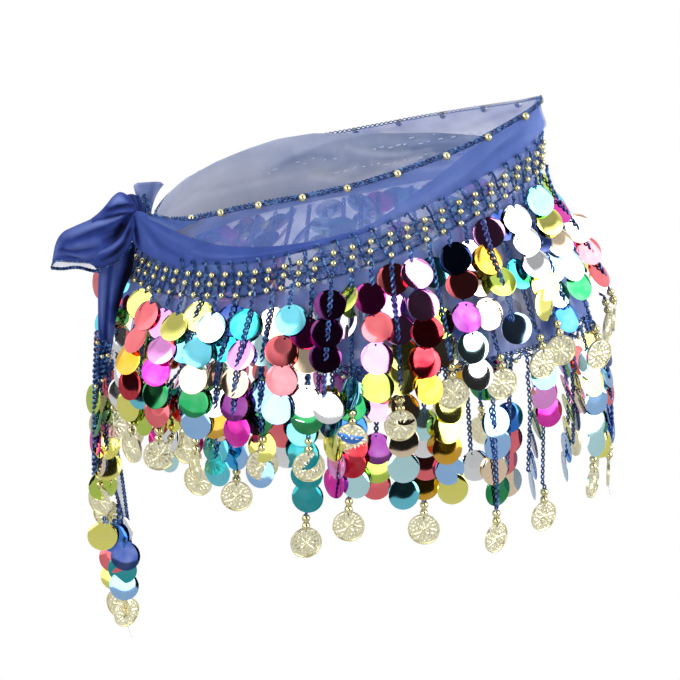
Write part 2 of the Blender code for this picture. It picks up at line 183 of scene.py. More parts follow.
class Shape:
    """Points and faces gathered from many small pieces, joined as one mesh."""

    def __init__(self):
        self.points, self.faces, self.slots, self.tones, self.count = [], [], [], [], 0

    def add(self, points, faces, slot=0, tone=None):
        """The last argument is the painted shade at each point, by how deep in a fold it lies: -1 a painted
        highlight on a ridge, 0 between, 1 painted shadow in a trough.
        """
        points = np.asarray(points, float).reshape(-1, 3)
        first = self.count
        self.points.append(points)
        self.tones.append(np.zeros(len(points)) if tone is None else np.asarray(tone, float).reshape(-1))
        self.faces.extend(tuple(first + i for i in face) for face in faces)
        self.slots.extend([slot] * len(faces))
        self.count += len(points)

    def place(self, template, middle, right, up, slot=0):
        """Adds a template at middle, its x along right and its y along up."""
        points, faces = template
        right, up = np.asarray(right, float), np.asarray(up, float)
        front = np.cross(right, up)
        self.add(middle + points @ np.array([right, up, front]), faces, slot)

    def made(self, name, materials, replaces=(), slot=None, sharp=40):
        mesh = bpy.data.meshes.new(name)
        mesh.from_pydata(np.concatenate(self.points).tolist(), [], self.faces)
        for look in materials:
            mesh.materials.append(look)
        mesh.polygons.foreach_set("material_index", self.slots)
        tones = np.concatenate(self.tones)
        # The painted fold shade goes to the cloth's materials as an attribute.
        if tones.any():
            mesh.attributes.new("painted_fold_shade", "FLOAT", "POINT").data.foreach_set("value", tones)
        mesh.update()
        mesh.shade_smooth()
        mesh.set_sharp_from_angle(angle=math.radians(sharp))
        piece = placed(name, mesh)
        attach(piece, BODY)
        if replaces:
            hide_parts(*replaces)
        return piece


def neighbours(count, closed=True):
    """Pairs of numbers below count that follow each other. closed adds the last with the first."""
    return [(i, (i + 1) % count) for i in range(count if closed else count - 1)]


def grid_faces(rows, columns, closed=False, flip=False):
    """Faces of a grid of points, rows by columns. closed joins the last column to the first."""
    faces = []
    for r in range(0, (rows - 1) * columns, columns):
        for c, d in neighbours(columns, closed):
            face = (r + c, r + d, r + columns + d, r + columns + c)
            faces.append(face[::-1] if flip else face)
    return faces


def unit(vectors):
    return vectors / (np.linalg.norm(vectors, axis=-1, keepdims=True) + 1e-12)


def across_and_off(path, side_of):
    """Two directions square to a path at each point, the first one also square to side_of."""
    along = unit(np.gradient(path, axis=0))
    across = unit(np.cross(along, np.broadcast_to(side_of, path.shape)))
    return across, np.cross(across, along)


def full_turn(count):
    """Angles spread evenly over a full turn."""
    return np.arange(count) * math.tau / count


def tube(shape, path, side_of, radius, sides=4, slot=0):
    """A round cord along a path. side_of is a direction off the path, for the sections to turn from."""
    path = np.asarray(path, float)
    across, off = (way[:, None] for way in across_and_off(path, side_of))
    turns = full_turn(sides)[None, :, None]
    rings = path[:, None] + radius * (across * np.cos(turns) + off * np.sin(turns))
    faces = grid_faces(len(path), sides, closed=True)
    faces.append(tuple(range(sides)))
    faces.append(tuple((len(path) - 1) * sides + i for i in range(sides))[::-1])
    shape.add(rings, faces, slot)


def lengths_along(path):
    """How far along a path each of its points lies."""
    return np.concatenate([[0], np.cumsum(np.linalg.norm(np.diff(path, axis=0), axis=1))])


def resample(path, step):
    """The path with points an even step apart, and how far along each lies."""
    path = np.asarray(path, float)
    gone = lengths_along(path)
    count = max(2, int(round(gone[-1] / step)) + 1)
    at = np.linspace(0, gone[-1], count)
    return np.stack([np.interp(at, gone, path[:, k]) for k in range(3)], 1), at


def curve_through(points, count):
    """A smooth curve through given points."""
    points = np.asarray(points, float)
    padded = np.concatenate([[2 * points[0] - points[1]], points, [2 * points[-1] - points[-2]]])
    place = np.linspace(0, len(points) - 1, count)
    i = np.minimum(place.astype(int), len(points) - 2)
    t = (place - i)[:, None]
    a, b, c, d = (padded[i + j] for j in range(4))
    return b + 0.5 * ((c - a) * t + (2 * a - 5 * b + 4 * c - d) * t ** 2 + (3 * b - a - 3 * c + d) * t ** 3)


def crochet(shape, fine, at, side_of, width, stitch, thread, slot=0):
    """Chain stitches: two threads that part and cross again, stitch by stitch.

    fine are points close together, and at is how far along each lies. width, stitch and thread, the
    thread's radius, are in mm.
    """
    side_of = np.broadcast_to(side_of, fine.shape)
    across, _ = across_and_off(fine, side_of)
    phase = at * math.pi / (stitch * MM)
    for way in (1, -1):
        path = fine + across * (way * (width * MM) / 2 * np.sin(phase))[:, None]
        path = path + side_of * (way * (thread * MM) * 0.9 * np.cos(phase))[:, None]
        tube(shape, path, side_of, thread * MM, 4, slot)


def crochet_chain(shape, path, side_of, width, stitch, thread):
    """A crochet chain along points that are further apart."""
    crochet(shape, *resample(path, stitch * MM / 4), side_of, width, stitch, thread)


def plied_cord(shape, path, side_of, radius, lay, slot=0):
    """Two threads laid round each other. radius and lay, the length of one turn, are in mm."""
    radius, lay = radius * MM, lay * MM
    fine, at = resample(path, lay / 5)
    across, off = across_and_off(fine, side_of)
    for start in (0, math.pi):
        turn = (at * math.tau / lay + start)[:, None]
        thread = fine + (across * np.cos(turn) + off * np.sin(turn)) * radius * 0.55
        tube(shape, thread, side_of, radius * 0.62, 4, slot)


# ---------------------------------------------------------------- materials

def principled(name, colour, roughness, metallic=0.0, **sockets):
    """A material and its shader. sockets are further values by their names, with _ for spaces."""
    made = bpy.data.materials.new(name)
    made.use_nodes = True
    shader = made.node_tree.nodes["Principled BSDF"]
    values = {"Base Color": (*colour, 1), "Roughness": roughness, "Metallic": metallic}
    values.update({key.replace("_", " "): value for key, value in sockets.items()})
    for socket, value in values.items():
        shader.inputs[socket].default_value = value
    return made, shader


def node(tree, kind, values=None, **settings):
    made = tree.nodes.new(kind)
    for key, value in settings.items():
        setattr(made, key, value)
    for key, value in (values or {}).items():
        made.inputs[key].default_value = value
    return made


def noise(tree, scale, detail=2.0, stretch=(1, 1, 1)):
    """A noise in metres, through the object's own coordinates."""
    at = node(tree, "ShaderNodeTexCoord")
    mapping = node(tree, "ShaderNodeMapping", {"Scale": stretch})
    made = node(tree, "ShaderNodeTexNoise", {"Scale": scale, "Detail": detail})
    tree.links.new(at.outputs["Object"], mapping.inputs["Vector"])
    tree.links.new(mapping.outputs["Vector"], made.inputs["Vector"])
    return made.outputs["Fac"]


def ramp(tree, source, target, stops):
    """A colour ramp from a source to a shader's input. stops are (place, colour)."""
    made = node(tree, "ShaderNodeValToRGB")
    elements = made.color_ramp.elements
    while len(elements) < len(stops):
        elements.new(0.5)
    for element, (place, colour) in zip(elements, stops):
        element.position, element.color = place, (*colour, 1)
    tree.links.new(source, made.inputs["Fac"])
    tree.links.new(made.outputs["Color"], target)


def bump(tree, shader, grain, strength, distance):
    """A bump of a noise. grain is the noise's scale and detail."""
    made = node(tree, "ShaderNodeBump", {"Strength": strength, "Distance": distance})
    tree.links.new(noise(tree, *grain), made.inputs["Height"])
    tree.links.new(made.outputs["Normal"], shader.inputs["Normal"])


def chiffon(name, pale, middle, deep, cover, thin, sheen=0.2):
    """Sheer crepe cloth with painted light and shade: paler and thinner on fold ridges, as painted highlight,
    and deeper in fold troughs, as painted shadow.
    """
    made, shader = principled(name, middle, 0.7, Sheen_Weight=sheen, Sheen_Roughness=0.4,
                              Sheen_Tint=(0.4, 0.55, 1, 1), Specular_IOR_Level=0.12)
    tree = made.node_tree
    fold = node(tree, "ShaderNodeAttribute", attribute_name="painted_fold_shade").outputs["Fac"]

    def depth(source, share):
        """Half of the painted fold shade, with a share of a noise on it, round 0.5."""
        half = node(tree, "ShaderNodeMath", {1: 0.5, 2: 0.5 - share / 2}, operation="MULTIPLY_ADD")
        tree.links.new(fold, half.inputs[0])
        total = node(tree, "ShaderNodeMath", {1: share}, operation="MULTIPLY_ADD")
        tree.links.new(source, total.inputs[0])
        tree.links.new(half.outputs[0], total.inputs[2])
        return total.outputs[0]

    # Colour: pale as painted highlight on ridges and deep as painted shadow in troughs, with random tone from
    # the noise across the same colours.
    tint = depth(noise(tree, 55, 3), 0.5)
    ramp(tree, tint, shader.inputs["Base Color"], ((0.05, pale), (0.5, middle), (0.95, deep)))
    if cover < 1:
        spread = depth(noise(tree, 34, 2, (1, 1, 1.8)), 0.9)
        ramp(tree, spread, shader.inputs["Alpha"], ((0.2, (thin,) * 3), (0.8, (cover,) * 3)))
    bump(tree, shader, (1100, 1), 0.08, 0.0003)
    return made


def metal(name, colour, roughness, metallic, drift, stops, relief=None, **sockets):
    """A shiny material whose colour drifts with a noise, drift being its scale and detail.

    stops are the drift's (place, colour), and relief is what a bump takes after its shader.
    """
    made, shader = principled(name, colour, roughness, metallic, **sockets)
    tree = made.node_tree
    ramp(tree, noise(tree, *drift), shader.inputs["Base Color"], stops)
    if relief:
        bump(tree, shader, *relief)
    return made


# Film colours, and how often each comes up on a strand.
PAILLETTE_FILMS = (
    ("silver", (0.92, 0.93, 0.95), 11),
    ("ice", (0.56, 0.90, 0.94), 7),
    ("cyan", (0.16, 0.68, 0.84), 6),
    ("sky", (0.34, 0.60, 0.98), 7),
    ("royal", (0.03, 0.20, 0.72), 5),
    ("navy", (0.010, 0.04, 0.20), 5),
    ("teal", (0.01, 0.36, 0.40), 4),
    ("green", (0.01, 0.28, 0.08), 3),
    ("lime", (0.56, 0.74, 0.10), 5),
    ("yellow", (0.92, 0.88, 0.20), 9),
    ("amber", (0.78, 0.42, 0.02), 4),
    ("coral", (0.95, 0.17, 0.20), 7),
    ("red", (0.55, 0.01, 0.03), 4),
    ("magenta", (0.78, 0.02, 0.45), 7),
    ("pink", (0.92, 0.34, 0.84), 7),
    ("nude", (0.94, 0.74, 0.52), 6),
    ("plum", (0.20, 0.02, 0.22), 3),
)
FILM_SHARES = [share for _, _, share in PAILLETTE_FILMS]


def paillette_film(name, colour):
    """Mirror film under clear plastic: near flat, with the faint waves of a stamped sheet."""
    lighter = tuple(0.93 * c + 0.07 for c in colour)
    return metal("paillette_" + name, colour, 0.07, 1.0, (120, 1), ((0.35, colour), (0.8, lighter)),
                 ((110, 0), 0.03, 0.0005), Coat_Weight=0.25, Coat_Roughness=0.04)


SHEER = chiffon("chiffon", (0.24, 0.34, 0.74), (0.125, 0.20, 0.56), (0.055, 0.10, 0.36), 0.54, 0.28)
# The skirt's chiffon is painted paler than the margin's, for the glow of light through it.
SKIRT = chiffon("chiffon_skirt", (0.44, 0.50, 0.78), (0.22, 0.29, 0.60), (0.05, 0.10, 0.38), 0.84, 0.20)
# The inside of the back: the same blue chiffon, painted pale for the light that comes through it from behind.
INSIDE_BACKLIT = chiffon("chiffon_lined_backlit", (0.68, 0.71, 0.84), (0.46, 0.52, 0.70), (0.22, 0.28, 0.48), 0.90, 0.80)
CLOSE = chiffon("chiffon_close", (0.24, 0.33, 0.68), (0.10, 0.17, 0.50), (0.035, 0.072, 0.32), 0.86, 0.50)
SOLID = chiffon("chiffon_doubled", (0.11, 0.17, 0.52), (0.050, 0.090, 0.35), (0.014, 0.028, 0.15),
                0.97, 0.90, 0.1)
# Knotted cloth: several layers deep, and darker still for painted shade in the knot; its near-black deep
# colour is painted shadow in the troughs.
BUNCHED_SHADED = chiffon("chiffon_bunched_shaded", (0.15, 0.21, 0.52), (0.024, 0.047, 0.24), (0.001, 0.002, 0.016),
                  1, 1, 0.06)
EAR_CLOTH = chiffon("chiffon_ear", (0.48, 0.55, 0.80), (0.17, 0.23, 0.48), (0.02, 0.032, 0.15),
                    0.90, 0.70, 0.12)
VEIL = chiffon("chiffon_veil", (0.5, 0.56, 0.8), (0.3, 0.36, 0.66), (0.12, 0.17, 0.45), 0.30, 0.08)
# Crochet yarn with a metal thread in it: dark, with brighter blue flecks of the metal thread that are also
# painted glints.
YARN = metal("metallic_yarn", (0.01, 0.04, 0.2), 0.34, 0.5, (420, 1),
             ((0.36, (0.009, 0.024, 0.10)), (0.52, (0.028, 0.085, 0.30)), (0.68, (0.14, 0.31, 0.60))),
             ((1100, 1), 0.35, 0.0004))
GOLD = metal("gold_bead", (0.74, 0.68, 0.38), 0.08, 1.0, (260, 1),
             ((0.35, (0.62, 0.55, 0.27)), (0.7, (0.84, 0.79, 0.48))))
COIN = metal("pale_gold_coin", (0.92, 0.86, 0.60), 0.3, 1.0, (420, 3),
             ((0.35, (0.88, 0.81, 0.53)), (0.65, (1.0, 0.97, 0.72))), ((900, 2), 0.15, 0.0004))
PALE_THREAD, _ = principled("pale_thread", (0.56, 0.63, 0.82), 0.5)
CLEAR_THREAD, _ = principled("clear_thread", (0.85, 0.85, 0.86), 0.2, Alpha=0.6)
FILMS = [paillette_film(name, colour) for name, colour, _ in PAILLETTE_FILMS]
FRINGE_LOOKS = [YARN, GOLD, COIN, CLEAR_THREAD, *FILMS]
YARN_SLOT, GOLD_SLOT, COIN_SLOT, CLEAR_SLOT, FIRST_FILM = 0, 1, 2, 3, 4


# ---------------------------------------------------------------- the chiffon

# Soft creases: start angle, start share, end angle, end share, height and half width in mm.
# A share is 0 at the rim and 1 at the net band.
MARGIN_CREASES = (
    (-24, 0.45, 20, 0.50, 3.2, 8.0),
    (-165, 0.9, -110, 0.25, 0.9, 2.6),
    (-150, 0.5, -70, 0.10, -0.8, 2.4),
    (-95, 0.8, -40, 0.35, 1.0, 3.2),
    (-62, 0.95, -18, 0.45, -1.0, 3.6),
    (-45, 0.30, -5, 0.15, 0.9, 3.0),
    (-30, 0.70, 12, 0.55, 1.1, 3.4),
    (8, 0.25, 52, 0.60, -0.8, 2.8),
    (35, 0.80, 80, 0.40, 0.9, 3.2),
    (70, 0.20, 118, 0.50, -0.8, 2.6),
    (100, 0.85, 150, 0.40, 0.9, 2.8),
    (130, 0.20, 172, 0.60, 0.8, 2.4),
)
# Creases below the net band: a share is 0 at the net band and 1 at the hem.
SKIRT_CREASES = (
    (-150, 0.1, -140, 1.0, 1.2, 3.0),
    (-128, 0.0, -122, 0.8, -1.0, 3.4),
    (-98, 0.1, -104, 1.0, 1.4, 3.6),
    (-82, 0.3, -60, 0.9, -1.2, 3.4),
    (-70, 0.0, -72, 0.9, 1.2, 3.0),
    (-44, 0.2, -50, 1.0, 1.6, 4.2),
    (-28, 0.0, -34, 1.0, -1.4, 4.0),
    (-12, 0.1, -8, 1.0, 1.4, 3.8),
    (14, 0.1, 10, 1.0, -1.3, 3.6),
    (33, 0.0, 38, 1.0, 1.5, 4.0),
    (60, 0.2, 52, 0.9, -1.2, 3.2),
    (78, 0.0, 84, 1.0, 1.3, 3.6),
    (105, 0.1, 98, 1.0, 1.3, 3.2),
    (128, 0.0, 134, 0.9, -1.1, 3.4),
    (152, 0.1, 146, 1.0, 1.2, 3.0),
)
ARC_MM = 2.35  # about how many mm of cloth lie in one degree
MARGIN_MM, SKIRT_MM, PANEL_MM = 26, 45, 20  # the height that a share of 1 stands for
CREASE_BOW = 0.04  # how far a crease bows to a side, as a share of its length
HEM_FOLD_DEPTH = 2.6 * MM
FOLDS_AROUND = 23
KNOT_PULL, KNOT_ANGLE, PULL_ARC, PULL_HEIGHT = 4.5 * MM, -176, 10, 15 * MM


def crease_out(angle, share, height_mm, creases):
    """How far soft creases stand out, for arrays of angles and shares of a stretch height_mm high."""
    out = np.zeros(np.broadcast(angle, share).shape)
    for a0, s0, a1, s1, rise, half in creases:
        run_x, run_y = (a1 - a0) * ARC_MM, (s1 - s0) * height_mm
        px, py = (angle - a0) * ARC_MM, (share - s0) * height_mm
        length2 = run_x ** 2 + run_y ** 2
        t = np.clip((px * run_x + py * run_y) / length2, 0, 1)
        bow = math.copysign(CREASE_BOW, rise) * np.sqrt(length2) * np.sin(math.pi * t)
        gap = np.hypot(px - run_x * t, py - run_y * t - bow)
        taper = np.sin(math.pi * np.clip(0.08 + 0.84 * t, 0, 1)) ** 0.7
        out += rise * MM * taper * np.exp(-(gap / half) ** 2)
    return out


def hem_fold(angle, z):
    """The soft hem folds of the solids: none at the net band, most at the hem."""
    low = net_bottom(angle)
    share = smooth((low - z) / (low - wrap_height("hem", angle)))
    turn = np.radians(angle)
    phase = FOLDS_AROUND * turn + 0.9 * np.sin(3 * turn + 0.5) + 0.6 * np.sin(5 * turn)
    return share * HEM_FOLD_DEPTH * (0.75 + 0.25 * np.sin(4 * turn + 1.1)) * np.sin(phase)


def knot_pull(angle, z):
    """How far the knot draws the band and the net off the hip beside it."""
    gap = (np.asarray(angle, float) - KNOT_ANGLE + 180) % 360 - 180
    height = z - wrap_height("bead_row", angle) + 4 * MM
    return KNOT_PULL * np.exp(-(gap / PULL_ARC) ** 2 - (height / PULL_HEIGHT) ** 2)


def shares_of_height(angle, z):
    """How far down z lies from the rim to the net band, and from the net band to the hem, each 0 to 1."""
    rim, top = wrap_height("rim", angle), net_top(angle)
    low, hem = net_bottom(angle), wrap_height("hem", angle)
    return (rim - z) / (rim - top), (low - z) / (low - hem)


def margin_crease(angle, above):
    return crease_out(angle, above, MARGIN_MM, MARGIN_CREASES)


def skirt_crease(angle, below):
    return crease_out(angle, below, SKIRT_MM, SKIRT_CREASES)


def cloth_out(angle, z):
    """How far the chiffon's outer face stands off the hip form, with folds and creases."""
    above, below = shares_of_height(angle, z)
    fade = np.clip(np.minimum(above, 1 - above) * 5, 0, 1)
    out = np.where(above < 1, margin_crease(angle, above) * fade, 0)
    out = out + np.where(below > 0, skirt_crease(angle, below) * smooth(below * 3), 0)
    return out + hem_fold(angle, z) + knot_pull(angle, z)


def shell(points_of, rows, columns, thickness, closed=False, flip=False):
    """Points and faces of a thin closed shell. points_of(out) gives its rows by columns at an offset."""
    points = np.concatenate([points_of(out).reshape(-1, 3) for out in (0.0, -thickness)])
    n, last = rows * columns, (rows - 1) * columns
    faces = grid_faces(rows, columns, closed, flip)
    faces += [tuple(n + i for i in face[::-1]) for face in faces]
    edges = []
    for a, b in neighbours(columns, closed):
        edges += [(b, a), (last + a, last + b)]
    for a in range(0, 0 if closed else last, columns):
        b = a + columns
        edges += [(a, b), (b + columns - 1, a + columns - 1)]
    return points, faces + [(a, b, n + b, n + a)[::-1 if flip else 1] for a, b in edges]


CHIFFON_THICK = 0.35 * MM
# A trough this deep gets the full painted shade.
FULL_SHADE_DEPTH = 2.2 * MM  # a trough this deep is at its darkest
MARGIN_ROWS, NET_CLOTH_ROWS, SKIRT_ROWS = 11, 5, 22
# A tone added to the skirt's painted fold shade: deeper in front, and paler round the back between these
# angles, each with the arc that it changes over.
SKIRT_DEEPER, SKIRT_PALER = 0.35, 1.25
BACK_FROM, BACK_FROM_ARC, BACK_TO, BACK_TO_ARC = -8, 40, 188, 30
OPEN_NET = (-112, 60)  # the angles between which the cloth behind the net is sheer


def scarf_cloth():
    """The scarf's body, all round, from the rim to the hem."""
    angles = np.arange(-180, 180, 1.0)
    counts = (MARGIN_ROWS, NET_CLOTH_ROWS, SKIRT_ROWS - 1)
    edges = (wrap_height("rim", angles), net_top(angles), net_bottom(angles), wrap_height("hem", angles))
    levels = np.stack(edges)
    z = np.stack([high + (low - high) * t for high, low, count in zip(levels, levels[1:], counts)
                  for t in np.linspace(0, 1, count + 1)[:-1]] + [levels[-1]])
    angle = np.broadcast_to(angles, z.shape)
    out = cloth_out(angle, z)

    def points_of(offset):
        return form_point(angle, z, out + offset)

    shape = Shape()
    above, below = shares_of_height(angle, z)
    crease = np.where(above < 1, margin_crease(angle, above), skirt_crease(angle, below))
    back = smooth((angle - BACK_FROM) / BACK_FROM_ARC) * smooth((BACK_TO - angle) / BACK_TO_ARC)
    own = np.where(below > 0, SKIRT_DEEPER - SKIRT_PALER * back, 0)
    # Painted shade: dark in the creases' troughs, and paler on their ridges as painted highlight.
    tone = np.clip(own - crease / FULL_SHADE_DEPTH, -1, 1)
    shape.add(*shell(points_of, *z.shape, CHIFFON_THICK, closed=True), tone=np.stack([tone, tone]))
    for i, face in enumerate(shape.faces):
        row, column = divmod(face[0] % z.size, len(angles))
        if row >= MARGIN_ROWS + NET_CLOTH_ROWS:
            shape.slots[i] = 1
        elif row >= MARGIN_ROWS and not OPEN_NET[0] <= angles[column] <= OPEN_NET[1]:
            shape.slots[i] = 2
    looks, replaced = [SHEER, SKIRT, CLOSE], ("cloth_front", "cloth_back")
    piece = shape.made("scarf_chiffon", looks, replaced, "cloth_front", 60)


LINING_OUT = -1.3 * MM

# How high the doubled stretches stand above their lower edges, in mm, by angle: across the front on the
# outside, and round the back and the front on the inside.
FOLD_OVER_ROWS = (
    (-192, 2), (-184, 13), (-174, 18.5), (-166, 19), (-150, 16), (-138, 14), (-126, 11), (-114, 8),
    (-100, 4.5), (-84, 1.6),
)
BACK_LINING_ROWS = (
    (20, 1.5), (24, 11), (30, 20), (40, 23), (50, 27), (62, 32.5), (75, 37.5), (85, 42.5), (95, 47),
    (103, 51), (115, 53.5), (125, 53.5), (140, 53.5), (155, 51.5), (168, 46), (178, 41.5), (188, 37),
)
FRONT_LINING_ROWS = (
    (-88, 1.5), (-78, 7), (-66, 14), (-56, 20), (-45, 23.5), (-30, 22.5), (0, 21.5), (8, 19), (20, 12),
    (30, 5), (38, 1.5),
)
# Painted light and shade on the back lining, by angle: deeper towards the right, and paler towards the left.
BACK_LINING_SHADE = (
    (28, 0.75), (60, 0.7), (90, 0.35), (103, 0), (120, -0.4), (148, -0.9), (160, -0.9), (172, -0.4),
    (188, 0.4),
)


def laid_panel(name, rows, out, low_of, creases, look, replaces=(), slot="cloth_back",
               puff=-0.4 * MM, shade=((0, 0),), grid=(14, 150)):
    """A stretch of doubled cloth laid on the scarf's body, its height and its painted shade given by angle.

    out is how far it lies from that body, puff how much further in its middle, and low_of its lower edge.
    """
    high_at, high = np.array(rows, float).T
    angles = np.linspace(high_at[0], high_at[-1], grid[1])
    share = np.linspace(0, 1, grid[0])[:, None]
    angle = np.broadcast_to(angles, grid)
    z = low_of(angles)[None] + (np.interp(angles, high_at, high) * MM)[None] * (1 - share)
    crease = crease_out(angle, share, PANEL_MM, creases)
    rest = cloth_out(angle, z) + out + np.sin(math.pi * share) * puff + crease

    def points_of(offset):
        return form_point(angle, z, rest + offset)

    shape = Shape()
    # Painted shade by angle, darker in the creases' troughs and paler on their ridges.
    tone = np.clip(np.interp(angles, *np.array(shade, float).T) - crease / (0.5 * FULL_SHADE_DEPTH), -1, 1)
    shape.add(*shell(points_of, *grid, CHIFFON_THICK), tone=np.stack([tone, tone]))
    piece = shape.made(name, [look], replaces, slot, 60)


# Rows of pale stitches inside the back, where it is sewn to the net: start and end angle, and how far above
# the net band's lower edge, at each end, in mm.
STITCH_ROWS = ((42, 98, 15.0, 19.5), (38, 84, 27.0, 30.0), (92, 120, 30.0, 33.0))


def lining_stitches():
    """Short pale stitches that show inside the back; their paleness is partly painted light, the light that
    shines through the stitch holes.
    """
    dice = random.Random(5)
    shape = Shape()
    bow = np.sin(np.linspace(0, math.pi, 6))
    for start, end, low, high in STITCH_ROWS:
        at = start
        while at < end:
            length = dice.uniform(0.5, 1.9)
            if dice.random() > 0.35:
                across = np.linspace(at, at + length, 6)
                up = low + (high - low) * (at - start) / (end - start) + dice.gauss(0, 1.3)
                z = net_bottom(across) + up * MM
                path = form_point(across, z, cloth_out(across, z) - 2.1 * MM - 0.3 * MM * bow)
                tube(shape, path, UP, dice.uniform(0.25, 0.6) * MM, 5)
            at += length + dice.uniform(0.4, 1.8)
    shape.made("lining_stitches", [PALE_THREAD], (), "cloth_back")


FOLD_OVER_CREASES = (
    (-172, 0.3, -120, 0.55, 0.5, 1.5),
    (-170, 0.7, -130, 0.8, -0.5, 1.4),
    (-160, 0.1, -100, 0.4, 0.4, 1.3),
    (-165, 0.5, -140, 0.65, -0.6, 1.2),
)
BACK_LINING_CREASES = (
    (46, 0.52, 64, 0.45, 1.3, 1.5),
    (67, 0.46, 84, 0.50, 1.2, 1.4),
    (88, 0.52, 104, 0.60, 1.0, 1.3),
    (52, 0.68, 74, 0.64, 0.9, 1.2),
    (80, 0.66, 97, 0.72, 0.9, 1.2),
    (60, 0.26, 92, 0.21, 0.8, 1.1),
    (95, 0.36, 116, 0.40, -0.8, 1.5),
    (40, 0.38, 70, 0.32, -0.9, 1.6),
    (60, 0.3, 120, 0.45, 0.5, 2.4),
    (110, 0.2, 172, 0.35, -0.5, 2.2),
    (40, 0.5, 90, 0.7, -0.5, 2.0),
)
FRONT_LINING_CREASES = (
    (-74, 0.9, -35, 0.35, 0.6, 2.4),
    (-50, 0.9, -15, 0.3, -0.6, 2.2),
    (-25, 0.8, 15, 0.3, 0.5, 2.4),
)


# ---------------------------------------------------------------- crochet, beads, paillettes and coins

def bead_template(radius, segments=12, rings=8):
    """A round bead, drilled along y, with dimpled ends."""
    points = []
    for r in range(rings + 1):
        fall = math.pi * (0.06 + 0.88 * r / rings)
        level, up = radius * math.sin(fall), radius * math.cos(fall)
        turns = (math.tau * s / segments for s in range(segments))
        points += [(level * math.cos(turn), up, -level * math.sin(turn)) for turn in turns]
    faces = grid_faces(rings + 1, segments, closed=True)
    top, last = len(points), rings * segments
    points += [(0, radius * 0.72, 0), (0, -radius * 0.72, 0)]
    for s, t in neighbours(segments):
        faces += [(t, s, top), (last + s, last + t, top + 1)]
    return np.array(points), faces


def paillette_template():
    """A thin dished disc that hangs from a small hole near its rim; the origin is the hole."""
    segments, hole_radius, hole_up, thick, dish = 24, 0.75 * MM, 8.0 * MM, 0.3 * MM, 0.04 * MM
    turns = full_turn(segments)
    circle = np.stack([np.cos(turns), np.sin(turns)], 1)
    hole, edge = np.array([0, hole_up]) + hole_radius * circle, PAILLETTE_RADIUS * circle
    rings = []
    for share, side in ((0, 1), (0.5, 1), (0.97, 1), (1, 0.3), (0.97, -1), (0, -1)):
        flat = hole + (edge - hole) * share
        away = np.hypot(flat[:, 0], flat[:, 1]) / PAILLETTE_RADIUS
        depth = -dish * (1 - away ** 2) + side * thick / 2
        rings.append(np.column_stack([flat[:, 0], flat[:, 1] - hole_up, depth]))
    faces = grid_faces(len(rings), segments, closed=True, flip=True)
    last = (len(rings) - 1) * segments
    faces += [(last + t, last + s, s, t) for s, t in neighbours(segments)]
    return np.concatenate(rings), faces


def coin_relief(radius, turn):
    """The coin's raised design: a rim, a ring of dots, a ring of small bars and an eight-petal rosette."""
    r = radius / COIN_RADIUS
    rim = np.where(r > 0.93, 0.45, 0)
    dots = 0.40 * np.exp(-((r - 0.82) / 0.06) ** 2) * np.clip(np.cos(26 * turn) * 1.6, 0, 1)
    bars = 0.34 * np.exp(-((r - 0.64) / 0.08) ** 2) * np.clip(np.cos(15 * turn) * 1.8, 0, 1)
    petals = 0.55 * np.clip(np.cos(8 * turn), 0, 1) * np.exp(-((r - 0.32) / 0.15) ** 2)
    heart = 0.5 * np.exp(-(r / 0.10) ** 2)
    return (rim + dots + bars + petals + heart) * MM * 1.5


def coin_template():
    """A thin stamped coin that hangs from a small hole near its rim; the origin is the hole."""
    segments = 64
    shares = (0, 0.06, 0.12, 0.20, 0.28, 0.36, 0.44, 0.54, 0.60, 0.66, 0.72, 0.78, 0.84, 0.89, 0.93, 0.95, 1)
    radius = np.broadcast_to(np.array(shares)[:, None] * COIN_RADIUS, (len(shares), segments))
    turn = np.broadcast_to(full_turn(segments), radius.shape)
    x, y = radius * np.cos(turn), radius * np.sin(turn) - COIN_HOLE_UP
    front = np.stack([x, y, 0.15 * MM + coin_relief(radius, turn)], -1)
    back = np.stack([x, y, -0.45 * MM - 0.5 * coin_relief(radius, turn)], -1)[::4]
    back = np.concatenate([back, np.stack([x[-1], y[-1], np.full(segments, -0.5 * MM)], -1)[None]])
    faces = grid_faces(len(front), segments, closed=True, flip=True)
    base = len(front) * segments
    faces += [tuple(base + i for i in face) for face in grid_faces(len(back), segments, closed=True)]
    edge, back_edge = base - segments, base + (len(back) - 1) * segments
    faces += [(back_edge + t, back_edge + s, edge + s, edge + t) for s, t in neighbours(segments)]
    return np.concatenate([front.reshape(-1, 3), back.reshape(-1, 3)]), faces


BEAD = bead_template(BEAD_RADIUS)
RIM_BEAD = bead_template(RIM_BEAD_RADIUS)
HEM_BEAD = bead_template(HEM_BEAD_RADIUS, 10, 6)
END_BEAD = bead_template(END_BEAD_RADIUS)
PAILLETTE = paillette_template()
COIN_SHAPE = coin_template()


# ---------------------------------------------------------------- the net band and the rim

NET_STRETCHES = ((-182, -98, 8.8), (-98, 177, 11.1))  # start and end angle, and mm between columns of beads
NET_ROWS = (0.0, -5.6, -12.6)  # the rows of beads, in mm below the top one
# The cord beside each column, from its tick above the top row to the band's lower edge: along and up in mm.
NET_POST = (
    (-0.9, 6.6), (0.3, 8.0), (1.5, 7.0), (2.0, 4.8), (3.2, 2.0), (3.7, -0.8), (4.4, -3.4), (5.4, -6.4),
    (6.2, -9.6), (7.4, -12.6),
)
# The cord behind each column of beads, likewise.
NET_COLUMN = ((0.3, 0.5), (-0.6, -3.0), (0, -5.6), (0.8, -9.2), (0, -12.8))
POST_CORD, ROW_CORD = (0.86, 3.8), (0.76, 3.4)  # radius, and length of one turn of the ply, in mm
NET_OUT = 1.3 * MM
BEAD_OUT = 2.4 * MM


